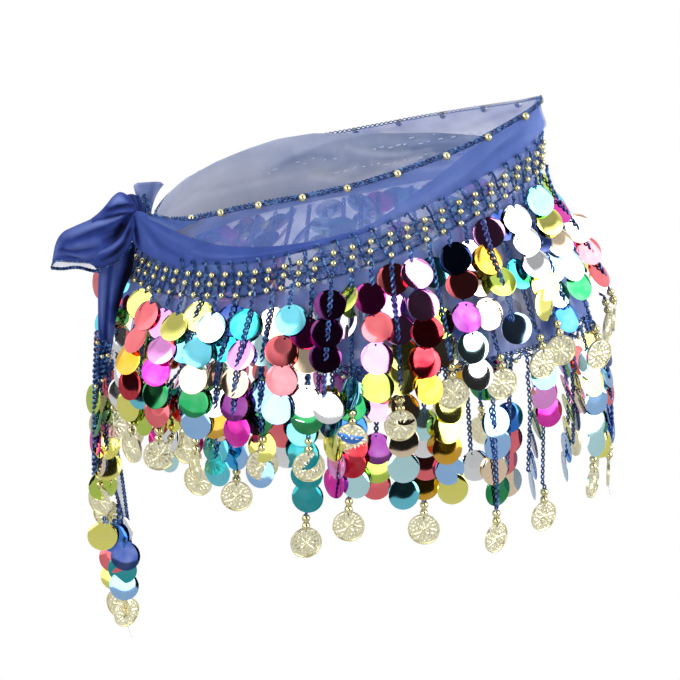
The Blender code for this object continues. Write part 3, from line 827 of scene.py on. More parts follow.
def even_angles(start, end, pitch, height):
    """Angles an even pitch apart along the wrap at the height of an edge, as in the solids."""
    fine = np.linspace(start, end, 600)
    gone = lengths_along(form_point(fine, height(fine))[:, :2])
    count = int(gone[-1] / pitch)
    return fine[np.searchsorted(gone, gone[-1] * (np.arange(count) + 0.5) / count)]


def bead_row(angle):
    return wrap_height("bead_row", angle)


def net_path(places, out):
    """Points on the net: places are (angle, mm above the top row of beads)."""
    angle, up = np.array(places, float).T
    z = bead_row(angle) + up * MM
    return form_point(angle, z, out + knot_pull(angle, z))


def net_band(name, start, end, replaced, seed):
    """The crocheted net: two cords down each column, one along each row, and a bead at each crossing."""
    dice = random.Random(seed)
    angles = np.concatenate([even_angles(a, b, pitch * MM, bead_row) for a, b, pitch in NET_STRETCHES])
    shape = Shape()
    for angle, after in zip(angles, [*angles[1:], 2 * angles[-1] - angles[-2]]):
        if not start <= angle < end:
            continue
        facing = outward(angle, bead_row(angle))
        side = np.cross(UP, facing)
        span = after - angle
        pitch = np.linalg.norm(net_path([(angle, 0)], 0)[0] - net_path([(after, 0)], 0)[0])
        per_mm = span * MM / pitch
        wide = pitch / (NET_STRETCHES[0][2] * MM)
        post = [(angle + x * wide * per_mm, y + dice.uniform(-0.3, 0.3)) for x, y in NET_POST]
        plied_cord(shape, curve_through(net_path(post, NET_OUT + 0.5 * MM), 40), facing, *POST_CORD)
        column = [(angle + x * per_mm, y) for x, y in NET_COLUMN]
        plied_cord(shape, curve_through(net_path(column, NET_OUT - 0.2 * MM), 16), facing, *ROW_CORD)
        for drop in NET_ROWS:
            sag = dice.uniform(0.5, 1.2)
            places = [(angle, drop), (angle + 0.5 * span, drop - sag), (after, drop)]
            plied_cord(shape, curve_through(net_path(places, NET_OUT), 12), facing, *ROW_CORD)
            aside = dice.uniform(-0.5, 0.5) * per_mm
            middle = net_path([(angle + aside, drop + dice.uniform(-0.4, 0.4))], BEAD_OUT)[0]
            roll = dice.uniform(-0.5, 0.5)
            up = UP * math.cos(roll) + side * math.sin(roll)
            shape.place(BEAD, middle, np.cross(up, facing), up, 1)
    shape.made(name, [YARN, GOLD], (replaced,), replaced)


def rim_edging(name, start, end, bead_angles, bead_lift, replaced, thread, rows):
    """The crocheted edging along the rim, with a gold bead here and there. thread is its radius in mm."""
    angles = np.arange(start, end + 0.01, 0.6)
    z = wrap_height("rim", angles)
    shape = Shape()
    for lift, out, width, stitch in RIM_ROWS[:rows]:
        fine, at = resample(form_point(angles, z, out * MM) + UP * lift * MM, stitch * MM / 4)
        share = np.linspace(0, at[-1], len(angles))
        facing = outward(np.interp(at, share, angles), np.interp(at, share, z))
        crochet(shape, fine, at, facing, width, stitch, thread)
    for angle in bead_angles:
        height = wrap_height("rim", angle)
        facing = outward(angle, height)
        middle = form_point(angle, height, BEAD_OUT) + UP * bead_lift
        shape.place(RIM_BEAD, middle, np.cross(UP, facing), UP, 1)
    shape.made(name, [YARN, GOLD], (replaced,), replaced)


# The rim's rows of crochet: how far above the rim, how far out, width and stitch, in mm.
RIM_ROWS = ((0.3, 0.4, 1.7, 3.2), (1.6, 0.1, 1.6, 2.8))
RIM_FRONT_BEADS = (-155, -143, -131, -118, -104.5, -91.5, -77, -62, -47, -28.5)
RIM_BACK_BEADS = (9, 27, 44, 60, 75, 89, 103, 117, 131, 145)


# ---------------------------------------------------------------- the fringe

# The share by which the strands at the sides are turned to the front, and where the sides begin and end, in
# degrees from the front, each with the arc that the turn fades over.
TURNED_FRONT, SIDE_FROM, SIDE_FROM_ARC, SIDE_TO, SIDE_TO_ARC = 0.42, 35, 40, 95, 30
SIDE_FLARE, FLARE_ARC, FLARE_DROP = 8 * MM, 24, 80 * MM  # how far out the high side's strands spread
STRAND_SWAY = 3.0 * MM
# Width, stitch and thread radius, in mm, of a strand's chain, and of the hem's swags and rows.
STRAND_CHAIN, SWAG_CHAIN, HEM_CROCHET = (2.1, 3.8, 0.66), (1.8, 2.8, 0.56), (1.5, 3.2, 0.45)
LAST_HOLE_UP = 18 * MM  # how far the last hole lies above the paillettes' lower end
# How far the chain lies in front of the holes: above the first one, and below it where the paillettes hang
# face out, and back to front. This near to the coin, it lies level with them.
CHAIN_ABOVE, CHAIN_BEHIND, CHAIN_BEFORE, LEVEL_BY_COIN = 0.9 * MM, -1.9 * MM, 1.5 * MM, 13 * MM
PITCH_RANGE = (0.92, 1.12)
NO_FIRST = (94, 6)  # the odds that a strand has its first paillette, or not
BACK_TO_FRONT, SAME_FILM = 0.2, 0.14  # the shares of such strands, and of such paillettes
DISC_TURN, DISC_ROLL, DISC_LEAN, EDGE_ON = 3.5, 11, (4, 14), (45, 72)  # in degrees
SLOPE_OVER = (4, 8, 12, 16)  # the stretches, in mm, over which a disc feels how its strand slopes
COIN_TURN, BEAD_LEAN = 24, 12  # in degrees
LOOKS_SEED = 40  # added to a tier's seed
THREAD_WITHIN = 2.5  # degrees from where a loose thread is wanted
END_BEADS_UP = (3.0, 8.2)  # in mm above the coin's hole


def turned(vector, axis, angle):
    """A vector turned about a unit axis."""
    vector, axis = np.asarray(vector, float), np.asarray(axis, float)
    return (vector * math.cos(angle) + np.cross(axis, vector) * math.sin(angle)
            + axis * (axis @ vector) * (1 - math.cos(angle)))


def strand(shape, line, facing, length, has_coin, dice, look, thread=False):
    """One strand: a crochet chain with paillettes hung down it, and two beads and a coin at its end.

    line gives its middle from how far down it is, and facing is the level way out from the cloth. look
    holds the first hole's depth in mm, the share of paillettes left out, the spread of their turn in degrees,
    how often a strand hangs edge on, and how far the chain goes on above the strand's top.
    """
    (nearest, deepest), left_out, turn_spread, edge_share, rise = look
    facing = np.array([*facing[:2], 0.0]) / math.hypot(facing[0], facing[1])
    side = np.cross(UP, facing)
    sway = dice.gauss(0, STRAND_SWAY)

    def place(down):
        return line(down) + side * sway * smooth(down / length)

    first = dice.uniform(nearest, deepest) * MM
    last = PAILLETTES_SHARE * length - LAST_HOLE_UP
    pitch = PAILLETTE_PITCH * dice.uniform(*PITCH_RANGE)
    count = max(1, int((last - first) / pitch + 0.35) + 1)
    step = (last - first) / max(1, count - 1)
    bare = dice.choices((0, 1), NO_FIRST)[0]
    reversed_discs = dice.random() < BACK_TO_FRONT
    strand_yaw = math.radians(dice.gauss(0, turn_spread))
    from_front = math.degrees(math.atan2(facing[0], -facing[1]))
    at_side = smooth((abs(from_front) - SIDE_FROM) / SIDE_FROM_ARC)
    at_side = at_side * (1 - smooth((abs(from_front) - SIDE_TO) / SIDE_TO_ARC))
    strand_yaw -= TURNED_FRONT * float(at_side) * math.radians(from_front)
    if dice.random() < edge_share:
        strand_yaw = math.radians(dice.choice((-1, 1)) * dice.uniform(*EDGE_ON))
    film = dice.choices(range(len(FILMS)), FILM_SHARES)[0]

    for j in range(bare, count):
        if dice.random() > SAME_FILM:
            film = dice.choices(range(len(FILMS)), FILM_SHARES)[0]
        if dice.random() < left_out:
            continue
        down = first + step * j + dice.uniform(-1.2, 1.2) * MM
        out = turned(facing, UP, strand_yaw + math.radians(dice.gauss(0, DISC_TURN)))
        right = np.cross(UP, out)
        slopes = ((place(down + over * MM) - place(down)) @ facing / (over * MM) for over in SLOPE_OVER)
        slope = float(max(slopes))
        up = turned(UP, right, -math.radians(dice.uniform(*DISC_LEAN)) - math.atan(max(0.0, slope)))
        up = turned(up, np.cross(right, up), math.radians(dice.gauss(0, DISC_ROLL)))
        right = np.cross(up, out)
        right /= np.linalg.norm(right)
        hole = place(down) + facing * ((-0.9 if reversed_discs else 0.2) * MM)
        shape.place(PAILLETTE, hole, right, up, FIRST_FILM + film)

    end = length * COIN_SHARE - COIN_HOLE_UP if has_coin else last + 1.5 * MM
    at = np.arange(-rise, max(end, 6 * MM), 1.2 * MM)
    ahead = np.where(at < first + step * bare, CHAIN_ABOVE, CHAIN_BEFORE if reversed_discs else CHAIN_BEHIND)
    ahead = np.convolve(np.pad(ahead, 1, "edge"), (0.25, 0.5, 0.25), "valid")
    if has_coin:
        ahead[at > end - LEVEL_BY_COIN] = 0
    path = np.array([place(down) for down in at]) + facing * ahead[:, None]
    crochet_chain(shape, path, facing, *STRAND_CHAIN)
    if has_coin:
        yaw = strand_yaw * 0.5 + math.radians(dice.gauss(0, COIN_TURN))
        coin_end(shape, place, end, turned(facing, UP, yaw), facing, dice, thread)


def coin_end(shape, place, end, out, facing, dice, thread):
    """A coin that faces out, its ring and the two beads above it, and a loose thread where asked."""
    hole, right = place(end), np.cross(UP, out)
    shape.place(COIN_SHAPE, hole, right, UP, COIN_SLOT)
    for up in END_BEADS_UP:
        lean = turned(UP, out, math.radians(dice.uniform(-BEAD_LEAN, BEAD_LEAN)))
        shape.place(END_BEAD, place(end - up * MM), np.cross(lean, out), lean, GOLD_SLOT)
    ring = [hole + (out * math.cos(t) * 1.1 + UP * (math.sin(t) * 1.8 + 0.6)) * MM
            for t in np.linspace(0, math.tau, 12)]
    tube(shape, ring, right, 0.22 * MM, 4, YARN_SLOT)
    if thread:
        loose = [hole + np.array([0.9 * k, 0, -17 - 3.3 * k]) * MM for k in range(4)]
        tube(shape, curve_through(loose, 12), facing, 0.3 * MM, 5, CLEAR_SLOT)


def tier(name, reach, pitch, top, strip_out, layer_out, drop, coins, seed, replaced, look,
         edging=(), threads=(), raised=((0, 0),)):
    """A stretch of fringe, laid out as in the solids: strands in two layers under the strip they hang from.

    coins are the (angle, height in mm) of the coins seen in front. Without any, every other strand has one.
    """
    # The lengths are drawn as in the solids, so what the strands carry has dice of its own.
    dice, looks = random.Random(seed), random.Random(seed + LOOKS_SEED)
    angles = even_angles(*reach, pitch, top)
    hung = {int(np.argmin(np.abs(angles - angle))): height * MM for angle, height in coins}
    (holes, left_out, *turns) = look
    shape = Shape()
    for lift in edging:
        edging_row(shape, np.arange(*reach, 0.5), top, strip_out, lift)
    for i, angle in enumerate(angles):
        raise_here = np.interp(angle, *np.array(raised, float).T) * MM
        root_z = top(angle) - STRIP_HEIGHT + raise_here
        root_out = strip_out(angle) + STRIP_THICK / 2 + 0.5 * LAYER_STEP * (i % 2)
        near_knot = smooth((abs(angle) - GATHER_FROM) / GATHER_ARC)
        layer = layer_out * (1 - GATHERED * near_knot) + STRIP_THICK / 2 + LAYER_STEP * (i % 2)
        flare = SIDE_FLARE * math.exp(-(angle / FLARE_ARC) ** 2)
        length = drop * (1 + LENGTH_SPREAD * dice.uniform(-1, 1)) - STRIP_HEIGHT + raise_here
        if i in hung:
            length = (root_z - hung[i]) / COIN_SHARE
        has_coin = i in hung or (not coins and i % 2 == 0)

        def line(down):
            spread = (layer - root_out) * smooth(down / SPREAD_DROP)
            return form_point(angle, root_z - down, root_out + spread + flare * smooth(down / FLARE_DROP))

        if edging and i + 1 < len(angles):
            scallop(shape, angle, angles[i + 1], top, strip_out)
        own_look = (holes, left_out[i % 2], *turns)
        has_thread = any(abs(angle - at) < THREAD_WITHIN for at in threads)
        strand(shape, line, outward(angle, root_z), float(length), has_coin, looks, own_look, has_thread)
    shape.made(name, FRINGE_LOOKS, (replaced,), replaced)


def edging_row(shape, angles, top, strip_out, lift):
    """A row of crochet along the hem, its middle lift mm below the hem."""
    strip = form_point(angles, top(angles) - lift * MM, strip_out(angles) + 0.8 * MM)
    gone = lengths_along(strip)
    even, at = resample(strip, 0.8 * MM)
    facing = outward(np.interp(at, gone, angles), np.interp(at, gone, top(angles)))
    crochet(shape, even, at, facing, *HEM_CROCHET)


def scallop(shape, angle, after, top, strip_out):
    """A swag of crochet between two strands, with a small bead at its lowest point."""
    bow = np.linspace(0, 1, 9)
    across = angle + (after - angle) * bow
    z = top(across) - STRIP_HEIGHT * 0.6 - SCALLOP_DROP * np.sin(math.pi * bow)
    swag = form_point(across, z, strip_out(across) + 1.6 * MM)
    facing = outward(across[4], z[4])
    crochet_chain(shape, swag, facing, *SWAG_CHAIN)
    shape.place(HEM_BEAD, swag[4] + facing * 1.2 * MM, np.cross(UP, facing), UP, GOLD_SLOT)


GATHER_FROM, GATHER_ARC, GATHERED = 138, 28, 0.8  # where the strands by the knot hang closer in, and how much

# How far the upper strands start above the strip they hang from in the solids, in mm, by angle.
UPPER_RAISED = ((-157, 4.5), (-138, 3), (-120, 1.5), (-95, 3), (-60, 1), (-30, 0), (120, 0), (177, 3))


def upper_tier(name, reach, coins, seed, replaced, look):
    def top(angle):
        return net_bottom(angle) - SEAM_GAP

    def strip_out(angle):
        return UPPER_STRIP_OUT + 0 * angle

    tier(name, reach, UPPER_PITCH, top, strip_out, UPPER_LAYER_OUT, UPPER_DROP, coins, seed, replaced, look,
         raised=UPPER_RAISED)


def hem_tier(name, reach, coins, seed, replaced, look, threads=()):
    def top(angle):
        return wrap_height("hem", angle) - LAID_ON_GAP

    def strip_out(angle):
        return hem_fold(angle, wrap_height("hem", angle)) - (STRIP_THICK + CLOTH_THICK) / 2

    tier(name, reach, HEM_PITCH, top, strip_out, HEM_LAYER_OUT, HEM_DROP, coins, seed, replaced, look,
         HEM_EDGING, threads)


# ---------------------------------------------------------------- the knot and the tie ends

BACK_FOLD_SHARE = 0.3  # how much of each fold a tube's back face takes


def fold_field(x, z, folds):
    """How far folds stand out, in mm, and their painted shade, at points of the front plane in mm.

    A fold is (its points, how far it stands out, its half width, its painted shade: 1 for painted shadow, -1
    for painted highlight). Its ends fade out.
    """
    rise_all, shade_all = np.zeros(np.shape(x)), np.zeros(np.shape(x))
    for line, rise, half, tone in folds:
        line = np.array(line, float)
        steps = np.diff(line, axis=0)
        lengths = np.linalg.norm(steps, axis=1)
        gone = lengths_along(line)
        nearest = np.full(np.shape(x), np.inf)
        place = np.zeros(np.shape(x))
        for k, ((x0, z0), (dx, dz)) in enumerate(zip(line, steps)):
            t = np.clip(((x - x0) * dx + (z - z0) * dz) / lengths[k] ** 2, 0, 1)
            gap = np.hypot(x - x0 - dx * t, z - z0 - dz * t)
            closer = gap < nearest
            nearest = np.where(closer, gap, nearest)
            place = np.where(closer, (gone[k] + t * lengths[k]) / gone[-1], place)
        taper = np.sin(math.pi * np.clip(0.12 + 0.76 * place, 0, 1)) ** 0.8
        profile = taper * np.exp(-(nearest / half) ** 2)
        rise_all = rise_all + rise * profile
        shade_all = shade_all + tone * taper * np.exp(-(nearest / (1.25 * half)) ** 2)
    return rise_all, np.clip(shade_all, -1, 1)


def flat_tube(shape, rows, folds, count, sides, slot=0, paler=0.0, mouth_lift=0.0):
    """Adds a flattened tube of cloth, its folds placed as listed, and gives its outer points as rows by
    sides.

    rows are (left x, left z, right x, right z, y, thickness) in mm, and may end with how far the right edge
    lies in front of the left one. The front face takes each fold whole, and the back face a share of it.
    mouth_lift raises the front edge of the last row, to show the inside.
    """
    table = curve_through(rows, count) * MM
    turn = full_turn(sides)
    u, w = np.cos(turn)[None], np.sin(turn)[None]
    left, right = table[:, [0, 4, 1]], table[:, [2, 4, 3]]
    if table.shape[1] > 6:
        left[:, 1] += table[:, 6] / 2
        right[:, 1] -= table[:, 6] / 2
    middle, half = (left + right) / 2, (left - right) / 2
    base = middle[:, None] + half[:, None] * u[..., None]
    out, tone = fold_field(base[..., 0] / MM, base[..., 2] / MM, folds)
    side = np.where(w >= 0, 1.0, BACK_FOLD_SHARE)
    near_edge = 1 - np.abs(u) ** 8
    lift = mouth_lift * smooth((np.linspace(0, 1, count)[:, None] - 0.8) / 0.2) * smooth(w * 2.5) * near_edge

    def points_of(offset):
        deep = table[:, 5][:, None] / 2 + offset
        level = half * (1 + offset / np.linalg.norm(half, axis=1, keepdims=True))
        soft = np.sign(w) * np.abs(w) ** 0.8
        points = middle[:, None] + level[:, None] * u[..., None]
        return points + FRONT * (deep * soft + out * MM * side * near_edge)[..., None] + UP * lift[..., None]

    # Painted fold shade on the front face only; paler lightens it all over.
    tone = tone * (w > -0.2) - paler
    walls = shell(points_of, count, sides, CHIFFON_THICK, closed=True, flip=True)
    shape.add(*walls, slot, np.stack([tone, tone]))
    return points_of(0.0)


# Rows of the tie pieces: left x, left z, right x, right z, y, thickness, in mm. Folds: points, how far out,
# half width, and painted shade: 1 for painted shadow, -1 for painted highlight.
WRAP_END_ROWS = (
    (-88.8, -36.8, -91.4, -52.6, -66, 0.5, 1),
    (-98, -35.4, -101.6, -54.2, -60.4, 0.9, 1.6),
    (-107.2, -33.8, -111.4, -54, -54.6, 1.6, 2.4),
    (-116.6, -30.6, -120.6, -52.6, -48.8, 2.8, 3.2),
    (-124.6, -27, -128.6, -50.2, -43.8, 4.4, 3.6),
    (-130.8, -24.6, -134.6, -47.4, -40, 6.5, 3.4),
    (-135.2, -24.2, -138.4, -43.4, -37.2, 8, 2.6),
    (-138, -25.4, -140.6, -38.8, -35, 7, 1.4),
    (-139.9, -27.9, -141.4, -34.4, -33, 4, 0),
)
WRAP_MARGIN_ROWS = (
    (-94.6, -22.6, -95, -23.6, -61.2, 0.6),
    (-100.5, -23.9, -101.4, -27.4, -57.1, 0.9),
    (-110.4, -25.4, -111.6, -33.6, -50.1, 1.2),
    (-120.2, -25.3, -121, -33.8, -44.1, 1.2),
    (-126.8, -24.9, -127.4, -30, -41.1, 1.2),
    (-133.4, -25, -133.6, -28, -37.1, 1.2),
)
WRAP_MARGIN_FOLDS = (
    (((-134, -25.6), (-122, -29), (-108, -33)), 0.8, 1.2, -0.5),
    (((-130, -25), (-118, -27.4), (-104, -29)), -0.6, 0.9, 0.3),
)
WRAP_END_FOLDS = (
    (((-137.4, -28.2), (-136, -35), (-134, -46.5)), -3.6, 1.5, 1),
    (((-139.2, -28.5), (-138.2, -36), (-137.6, -43.5)), 1.4, 1.3, -0.25),
    (((-135.2, -28.2), (-129, -34.5), (-119, -44), (-106, -49)), -1.4, 1.9, 0.35),
    (((-133, -26.4), (-124, -32), (-112, -38), (-100, -41)), 1.1, 2.2, -0.3),
    (((-134.9, -25.8), (-125.5, -29.4), (-114.6, -34)), -0.7, 1.2, 0.25),
    (((-131.5, -32), (-127.5, -39.5), (-123, -48.6)), 1, 2, -0.2),
)
LOBE_ROWS = (
    (-138.4, -24.6, -137, -33, -32, 7),
    (-144.7, -25.2, -139.8, -41, -34, 11),
    (-152, -26.2, -143.8, -48, -36, 13),
    (-159.5, -26.8, -149, -53, -38, 14),
    (-167.5, -30.2, -153.5, -56.6, -39, 13.5),
    (-175.5, -33.6, -156.8, -59.2, -39.5, 12),
    (-182.5, -37.4, -158.6, -60.8, -39.5, 10),
    (-187.2, -45, -159.8, -61.8, -39, 8.5),
    (-190.6, -60.4, -160.2, -62.4, -38, 7),
)
LOBE_FOLDS = (
    (((-140.3, -25.4), (-151, -28.2), (-160.5, -30.4), (-171.3, -34.6), (-180, -38.4)), 2.2, 2.2, -0.55),
    (((-143, -27.8), (-150.5, -31.6), (-158.1, -34.2), (-167.6, -38.2), (-177.2, -42.4)), -2, 1.5, 0.45),
    (((-141, -27.6), (-144.6, -33.6), (-148.8, -39.8), (-154, -41.6)), -4.6, 2.3, 1),
    (((-144.6, -32.4), (-151.4, -36.4), (-159, -37.4)), -2.2, 2.2, 0.55),
    (((-157, -39.6), (-168, -43.4), (-180, -47)), 1.2, 2.4, -0.22),
    (((-160, -46), (-172, -48.4), (-184.5, -51)), -1, 1.2, 0.30),
    (((-166, -51.4), (-176, -54), (-187, -56)), 0.8, 1.3, -0.15),
    (((-163, -54.4), (-174, -57.4), (-186, -59)), -0.7, 1.1, 0.25),
    (((-184.6, -42), (-186.6, -50), (-188.4, -58)), 0.9, 1.4, -0.35),
    (((-178, -38.6), (-181.4, -46), (-183.6, -56.5)), -0.6, 1.2, 0.18),
)
BAND_ROWS = (
    (-138.6, -25.4, -135.6, -29.2, -34, 7),
    (-141, -32.2, -137, -37, -39, 8),
    (-144.6, -38.4, -139.8, -45.2, -42, 8.5),
    (-149.4, -42.8, -145, -51.2, -43.5, 8.5),
    (-154.8, -45.6, -151.4, -55.6, -44, 7.5),
    (-159.4, -47.6, -157.4, -58.4, -43.5, 5),
    (-163.4, -50.2, -162.6, -58.6, -42.5, 2.5),
)
BAND_FOLDS = (
    (((-139.6, -31.8), (-144, -39.8), (-150, -44.6), (-158, -48), (-166, -51.4)), 1, 1.3, -0.45),
    (((-139.4, -35.4), (-143.6, -43.6), (-149.6, -49.2), (-157, -53.6)), -1.6, 1.5, 0.8),
    (((-145, -47.6), (-151.6, -53), (-158, -56.6)), 0.7, 1, -0.1),
    (((-138, -28.4), (-139.2, -33), (-142, -39)), -1, 1, 0.7),
)
HUMP_ROWS = (
    (-136.2, -21, -136, -24.6, -33, 6),
    (-140.8, -14.8, -139, -25.6, -35, 10),
    (-145.8, -11.9, -143.2, -26.2, -36.5, 12),
    (-150.2, -14.4, -148.6, -26.8, -38, 12),
    (-154.4, -19.4, -153.2, -27.8, -39, 11),
    (-158.8, -24, -158, -29, -40, 7),
    (-163.4, -27.4, -163, -30.4, -41.5, 4),
)
HUMP_FOLDS = (
    (((-141.8, -16.4), (-146.6, -15), (-150.6, -17.6)), 1, 2, -0.8),
    (((-136.6, -21.4), (-141.6, -19.6), (-147.2, -19.9), (-153.4, -22)), -2, 1.2, 0.85),
    (((-138.4, -23.4), (-144.6, -22.6), (-151.6, -24.2)), 1, 1.1, -0.1),
    (((-139.6, -25.2), (-146.6, -25.2), (-154, -26.8)), -1.2, 0.9, 0.6),
    (((-137.4, -18.4), (-139.6, -16.2), (-142.4, -13.4)), -1.2, 1.2, 0.6),
)
EAR_ROWS = (
    (-133.2, -30.5, -128, -30.8, -22.5, 5),
    (-134.8, -24.9, -126.9, -25.3, -22.5, 6),
    (-136.6, -19.6, -125, -19.6, -21.5, 6.5),
    (-138, -15.6, -122.4, -14.8, -20.5, 6),
    (-138.9, -12.2, -119.6, -11.2, -19.5, 5),
)
EAR_FOLDS = (
    (((-135.2, -26), (-134.6, -19), (-133.4, -11)), 0.8, 1.6, -0.1),
    (((-129.6, -27), (-128.4, -20), (-126.6, -12)), -1, 1.4, 0.35),
    (((-137, -13.5), (-138, -11.5), (-138.6, -9.8)), 0.4, 1.6, -0.9),
    (((-125, -21), (-123.6, -16), (-121.6, -11.6)), 0.7, 1.6, -0.35),
)
EAR_CHAINS = (
    ((-135.6, -16.6), (-133.6, -21.4), (-130.6, -27)),
    ((-131.6, -16), (-129.6, -21.4), (-128.2, -26.4)),
)
TAIL_ROWS = (
    (-154, -52, -137.6, -46, -30, 6),
    (-160.8, -64, -139.8, -64, -30, 6),
    (-162.5, -78, -145.6, -78, -30, 5.5),
    (-163.2, -98, -151.6, -98, -30, 5),
    (-163.5, -112, -153.8, -112, -29, 4),
    (-164, -124, -156.6, -124, -28.5, 2.8),
    (-163.6, -138, -160, -138, -28.3, 1.6),
)
# The first fold paints shadow down the tail's right side, where it turns back out of the light.
TAIL_FOLDS = (
    (((-138.6, -48), (-141.4, -64), (-146.4, -80), (-151.8, -97)), -4.5, 3, 1.7),
    (((-153.6, -58), (-155.4, -78), (-157.6, -100), (-159.6, -120)), -1.6, 1.1, 0.5),
    (((-158.2, -60), (-159.4, -80), (-161, -104)), 1, 1.5, -0.2),
    (((-150.8, -60), (-153.6, -84), (-156, -112)), 0.8, 1, -0.1),
    (((-160.6, -70), (-161.4, -92), (-162.4, -118)), -0.7, 0.9, 0.3),
)
TAIL_END_ROWS = (
    (-163.7, -119, -154.2, -119, -28.6, 2.4),
    (-165.6, -136, -155.8, -136, -28.2, 2.4),
    (-166.8, -160, -156, -160, -27.6, 2.2),
    (-165, -185, -154.6, -185, -27.2, 2),
    (-159, -207, -151.8, -207, -27, 2),
    (-153.6, -230, -149.6, -230, -27, 1.8),
    (-150.4, -250, -148, -250, -27, 1.6),
    (-149, -260, -147.4, -260, -27, 1.4),
)
TAIL_END_FOLDS = (
    (((-160, -124), (-161.4, -160), (-159.4, -200), (-153, -240)), -0.8, 1.2, 0.6),
)


def edge_crochet(shape, path, slot, width, stitch, thread):
    """Crochet along a cloth edge, facing the front."""
    even, at = resample(path, 0.8 * MM)
    crochet(shape, even, at, FRONT, width, stitch, thread, slot)


def shift(x, y, z):
    """A step in mm."""
    return np.array([x, y, z]) * MM


TIE_LOOKS = [BUNCHED_SHADED, YARN, VEIL]
LOBE_SHEER_FROM = 0.82  # the share of the lobe's rows from which its front is sheer
# How much the painted fold shade of the lobe and of the tail is lightened all over.
LOBE_PALER, TAIL_PALER = 0.12, 0.25
EAR_FRONT = -25.6
TAIL_EDGING_FROM = (50, 60)  # the rows where the crochet down the tail's left and right edges starts


def wrap_end():
    """The end of the scarf's body, drawn together into the knot, and its sheer margin over the rim's end."""
    shape = Shape()
    edge = flat_tube(shape, WRAP_MARGIN_ROWS, WRAP_MARGIN_FOLDS, 48, 48, slot=1)
    edge_crochet(shape, edge[:40, 0] + shift(0, -0.6, 0.2), 2, 1.1, 2.6, 0.34)
    flat_tube(shape, WRAP_END_ROWS, WRAP_END_FOLDS, 72, 96)
    piece = shape.made("knot_wrap_end", [SOLID, CLOSE, YARN], (), "tie_knot", 70)


def folded(name, shape, looks, replaces, slot):
    """A folded stretch of a tie end."""
    piece = shape.made(name, looks, replaces, slot, 70)


def tie_lobe():
    """The big loop of the lower tie end: its mouth is open below, with crochet round it."""
    shape, count, sides = Shape(), 64, 112
    mouth = flat_tube(shape, LOBE_ROWS, LOBE_FOLDS, count, sides, paler=LOBE_PALER, mouth_lift=5.6 * MM)[-1]
    for i, face in enumerate(shape.faces):
        row, side = divmod(face[0] % (count * sides), sides)
        if row > LOBE_SHEER_FROM * count and side > sides / 2:
            shape.slots[i] = 2
    edge_crochet(shape, mouth[:sides // 2 + 1] + shift(0, -0.5, 0), 1, 0.9, 2.4, 0.3)
    even, at = resample(mouth[sides // 2 - 2:] + shift(0, 0, -0.9), 0.8 * MM)
    wave = -UP * (0.7 * MM * np.sin(at / (3.4 * MM)))[:, None]
    plied_cord(shape, even + wave, FRONT, 1.15, 4.2, 1)
    folded("tie_end_lobe", shape, TIE_LOOKS, ("tie_end_low",), "tie_end_low")


def tie_band():
    """The twisted edge of the lobe that runs up into the knot."""
    shape = Shape()
    outer = flat_tube(shape, BAND_ROWS, BAND_FOLDS, 60, 64)
    edge_crochet(shape, outer[18:, 32] + shift(0.3, -0.4, -0.3), 1, 1.0, 2.8, 0.36)
    folded("tie_end_band", shape, TIE_LOOKS, (), "tie_end_low")


def tie_hump():
    """The small loop over the lobe."""
    shape = Shape()
    flat_tube(shape, HUMP_ROWS, HUMP_FOLDS, 48, 72)
    folded("tie_end_hump", shape, TIE_LOOKS, (), "tie_end_low")


def tie_ear():
    """The short end that stands up behind the knot, with the crochet of its edge folded to the front."""
    shape = Shape()
    flat_tube(shape, EAR_ROWS, EAR_FOLDS, 36, 72, mouth_lift=2.6 * MM)
    for chain in EAR_CHAINS:
        path = curve_through([(x, EAR_FRONT, z) for x, z in chain], 20) * MM
        edge_crochet(shape, path, 1, 1.9, 3.0, 0.5)
    folded("tie_end_ear", shape, [EAR_CLOTH, YARN], ("tie_end_top",), "tie_end_top")


def tie_tail():
    """The long end: doubled cloth above, and below it one sheer layer with crochet down its edges."""
    shape = Shape()
    high = flat_tube(shape, TAIL_ROWS, TAIL_FOLDS, 64, 64, paler=TAIL_PALER)
    low = flat_tube(shape, TAIL_END_ROWS, TAIL_END_FOLDS, 70, 32, slot=2)
    for side, start in enumerate(TAIL_EDGING_FROM):
        path = np.concatenate([high[start:, side * 32], low[4:, side * 16]]) + shift(0.1, -0.6, 0)
        edge_crochet(shape, path, 1, 1.5, 2.7, 0.62)
    folded("tie_tail_cloth", shape, TIE_LOOKS, ("tie_tail",), "tie_tail")


# The strands on the tail: x, y and z of the top in mm, length in mm, whether it ends in a coin, and how far
# down its first paillette may hang.
TAIL_STRANDS = (
    (-162.6, -19, -62, 44, False, (5, 7)),
    (-166, -33, -130, 101, True, (10, 16)),
    (-162.5, -24, -140, 104, True, (8, 14)),
    (-156.5, -33.5, -128, 44, True, (6, 10)),
    (-160, -31.5, -168, 74, False, (5, 9)),
    (-163.2, -34, -233, 30, False, (3, 6)),
    (-150.2, -34.5, -248, 60, True, (3, 6)),
    (-157, -31, -236, 68, True, (5, 8)),
    (-154.4, -29, -226, 66, False, (8, 11)),
)
# The braids that gather the strands at the tail's left edge: points, width and thread radius in mm, and where
# along them a small bead sits.
TAIL_BRAIDS = (
    (((-163.4, -34.5, -104), (-164.6, -36, -122), (-165.8, -36.4, -142), (-167, -36.2, -172),
      (-168.6, -35.6, -203)), 2.6, 0.85, (0.12, 0.5)),
    (((-159.8, -33.8, -111), (-162, -34.2, -124), (-164.4, -34, -138)), 3.4, 1.0, (0.4,)),
    (((-156.4, -33.2, -114), (-159.6, -34, -128), (-163.2, -34.2, -144)), 2.6, 0.9, (0.25, 0.8)),
)
TAIL_SEED = 47
LOOSE_THREAD_ON = 6  # the strand that ends in a loose thread
